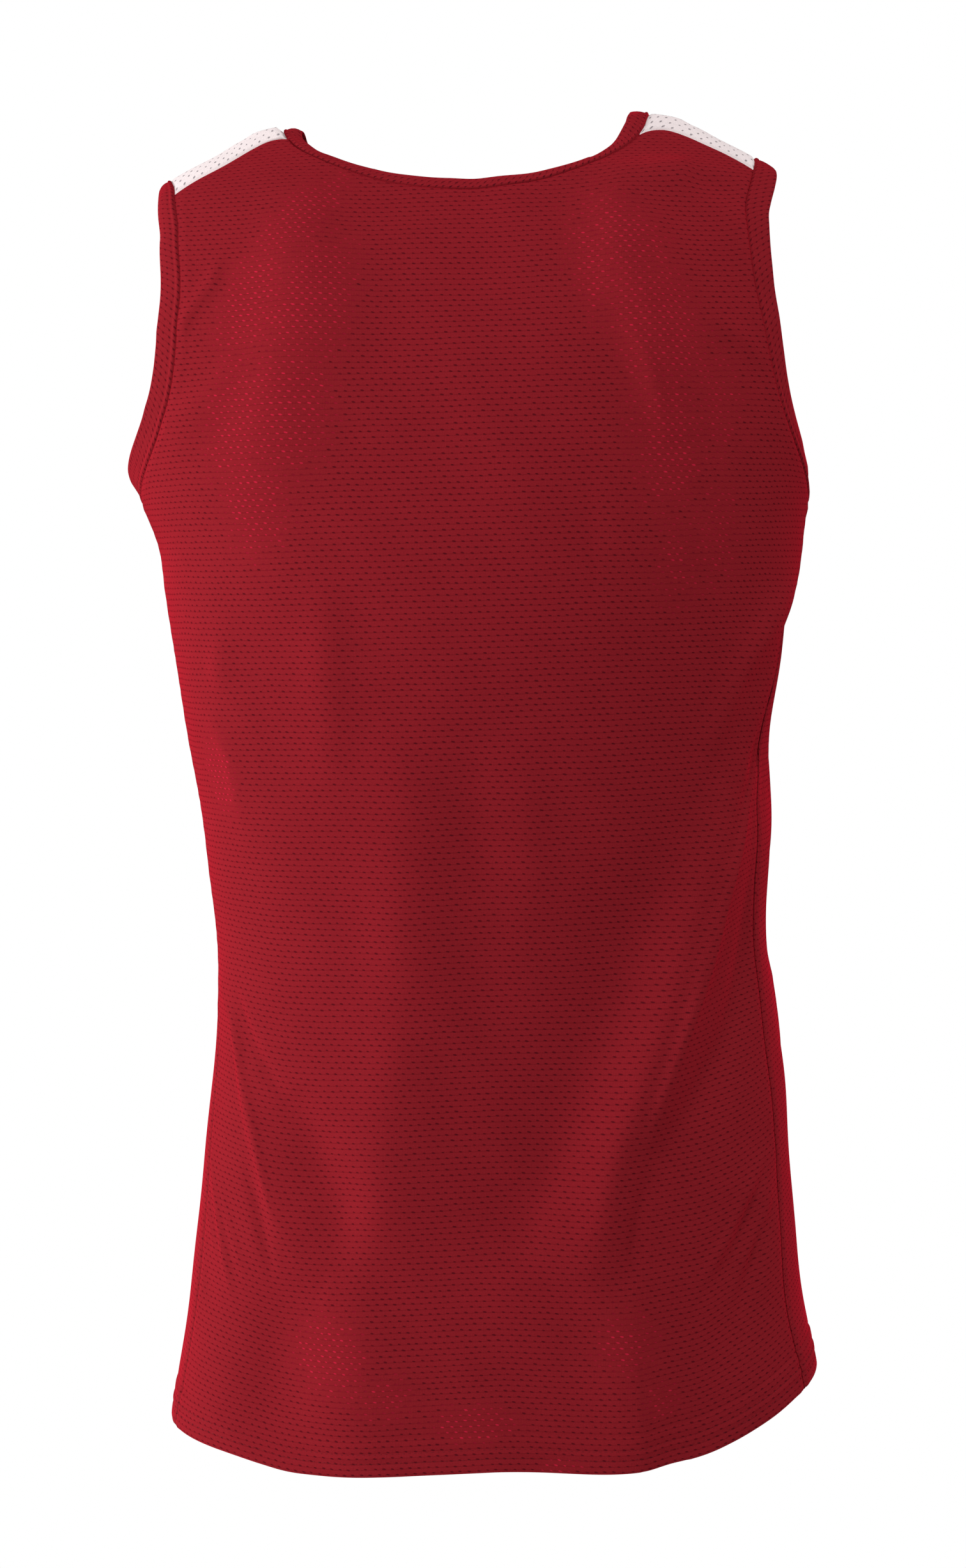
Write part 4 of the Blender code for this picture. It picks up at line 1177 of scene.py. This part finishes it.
def makeInner(name, shape, normal, pattern):
    under = shape - (panel["wall"] + inner["gap"]) * normal
    piece = addPiece(name, clothGrid(under, pattern), redMesh, inner["wall"])
    print(name, "made:", len(piece.data.polygons), "faces")
    return piece


hemTurns, allowances = {}, {}
for face in panels:
    _, *layers, _ = panels[face]
    shape = layers[0]
    lengths = lengthsAlong(shape[:inner["searched"], shape.shape[1] // 2])
    top = int(np.searchsorted(lengths, panel["hemTurn"]))
    hemTurns[face] = makeInner(face + "HemTurn", *(layer[:top, 1:-1] for layer in layers))
_, *layers, rows = panels["back"]
lengths = lengthsAlong(layers[0][top, :inner["searched"]])
reachIn = 1 + int(np.searchsorted(lengths, inner["allowance"]))
for side, columns in (("left", slice(0, reachIn)), ("right", slice(-reachIn, None))):
    strip = [layer[top:rows - 1, columns] for layer in layers]
    allowances[side] = makeInner("sideAllowance" + side.title(), *strip)


# Camera, floor and light

view = {
    "distance": 2.2, "height": -0.228,
    "around": 183.0, "pitch": -3.4, "roll": 1.5,  # degrees
    "lens": 93.63, "sensor": 36.0,  # mm
}


def aim(item, place, ahead, roll=0.0):
    # links a camera or a lamp that stands at a place and looks along a way
    right = unit(np.cross(ahead, [0, 0, 1.0]))
    up = np.cross(right, ahead)
    right, up = right * math.cos(roll) - up * math.sin(roll), up * math.cos(roll) + right * math.sin(roll)
    item.matrix_world = placed(right, up, -ahead, place)
    bpy.context.scene.collection.objects.link(item)


def makeCamera():
    turn, pitch, roll = (math.radians(view[key]) for key in ("around", "pitch", "roll"))
    back = np.array([math.sin(turn), -math.cos(turn), 0.0])
    place = back * view["distance"] + np.array([0, 0, view["height"]])
    ahead = -back * math.cos(pitch) + np.array([0, 0, 1.0]) * math.sin(pitch)
    data = bpy.data.cameras.new("camera")
    data.lens = view["lens"]
    data.sensor_width = view["sensor"]
    camera = bpy.data.objects.new("camera", data)
    aim(camera, place, ahead, roll)
    bpy.context.scene.camera = camera


studio = {
    "floor": -1.42,
    "floorRadius": 2.4,
    "ambient": 0.27,
    "aimHeight": -0.35,  # the lamps look at the middle of the part at this height
    # name, angle from centre back to the wearer's left, distance, height, size, watts, colour
    "lamps": (
        ("key", 82, 3.0, -0.10, 2.6, 119.0, "FFFFFF"),
        ("over", 0, 2.4, 2.20, 1.5, 96.0, "FFFFFF"),
        ("rimLeft", 115, 2.6, -0.80, 0.9, 20.0, "FFFFFF"),
        ("rimRight", -108, 2.5, 1.05, 0.9, 33.0, "FFFFFF"),
    ),
}


def makeStudio():
    bm = bmesh.new()
    bmesh.ops.create_circle(bm, cap_ends=True, segments=96, radius=studio["floorRadius"])
    bmesh.ops.translate(bm, verts=bm.verts, vec=(0, 0, studio["floor"]))
    # Matt white paint, rolled on: nearly even, with a very faint orange-peel.
    paint, tree, _ = newMaterial("Matt white floor paint, rolled", Base_Color=linear("F6F6F6"), Roughness=0.9)
    place = addNode(tree, "ShaderNodeTexCoord").outputs["Object"]
    peel = addNode(tree, "ShaderNodeTexNoise", {"Vector": place}, Scale=300.0).outputs["Fac"]
    addBump(tree, peel, 0.1, 0.001)
    newObject("floor", bm, paint)
    for name, angle, distance, height, size, watts, colour in studio["lamps"]:
        data = bpy.data.lights.new(name, "AREA")
        data.shape = "DISK"
        data.size = size
        data.energy = watts
        data.color = linear(colour)[:3]
        turn = math.radians(angle)
        place = np.array([math.sin(turn) * distance, math.cos(turn) * distance, height])
        aim(bpy.data.objects.new(name, data), place, unit(np.array([0, 0, studio["aimHeight"]]) - place))
    world = bpy.data.worlds.new("studio")
    world.use_nodes = True
    tree = world.node_tree
    sky = tree.nodes["Background"]
    sky.inputs["Color"].default_value = (1.0, 1.0, 1.0, 1.0)
    # the white room is brighter to look at than it is as a light
    looking = addNode(tree, "ShaderNodeLightPath").outputs["Is Camera Ray"]
    glow = maths(tree, "MULTIPLY_ADD", looking, 1.0 - studio["ambient"], studio["ambient"])
    tree.links.new(glow, sky.inputs["Strength"])
    bpy.context.scene.world = world
    bpy.context.scene.view_settings.view_transform = "Standard"


makeCamera()
makeStudio()
print("camera and studio set")


for side in ("left", "right"):
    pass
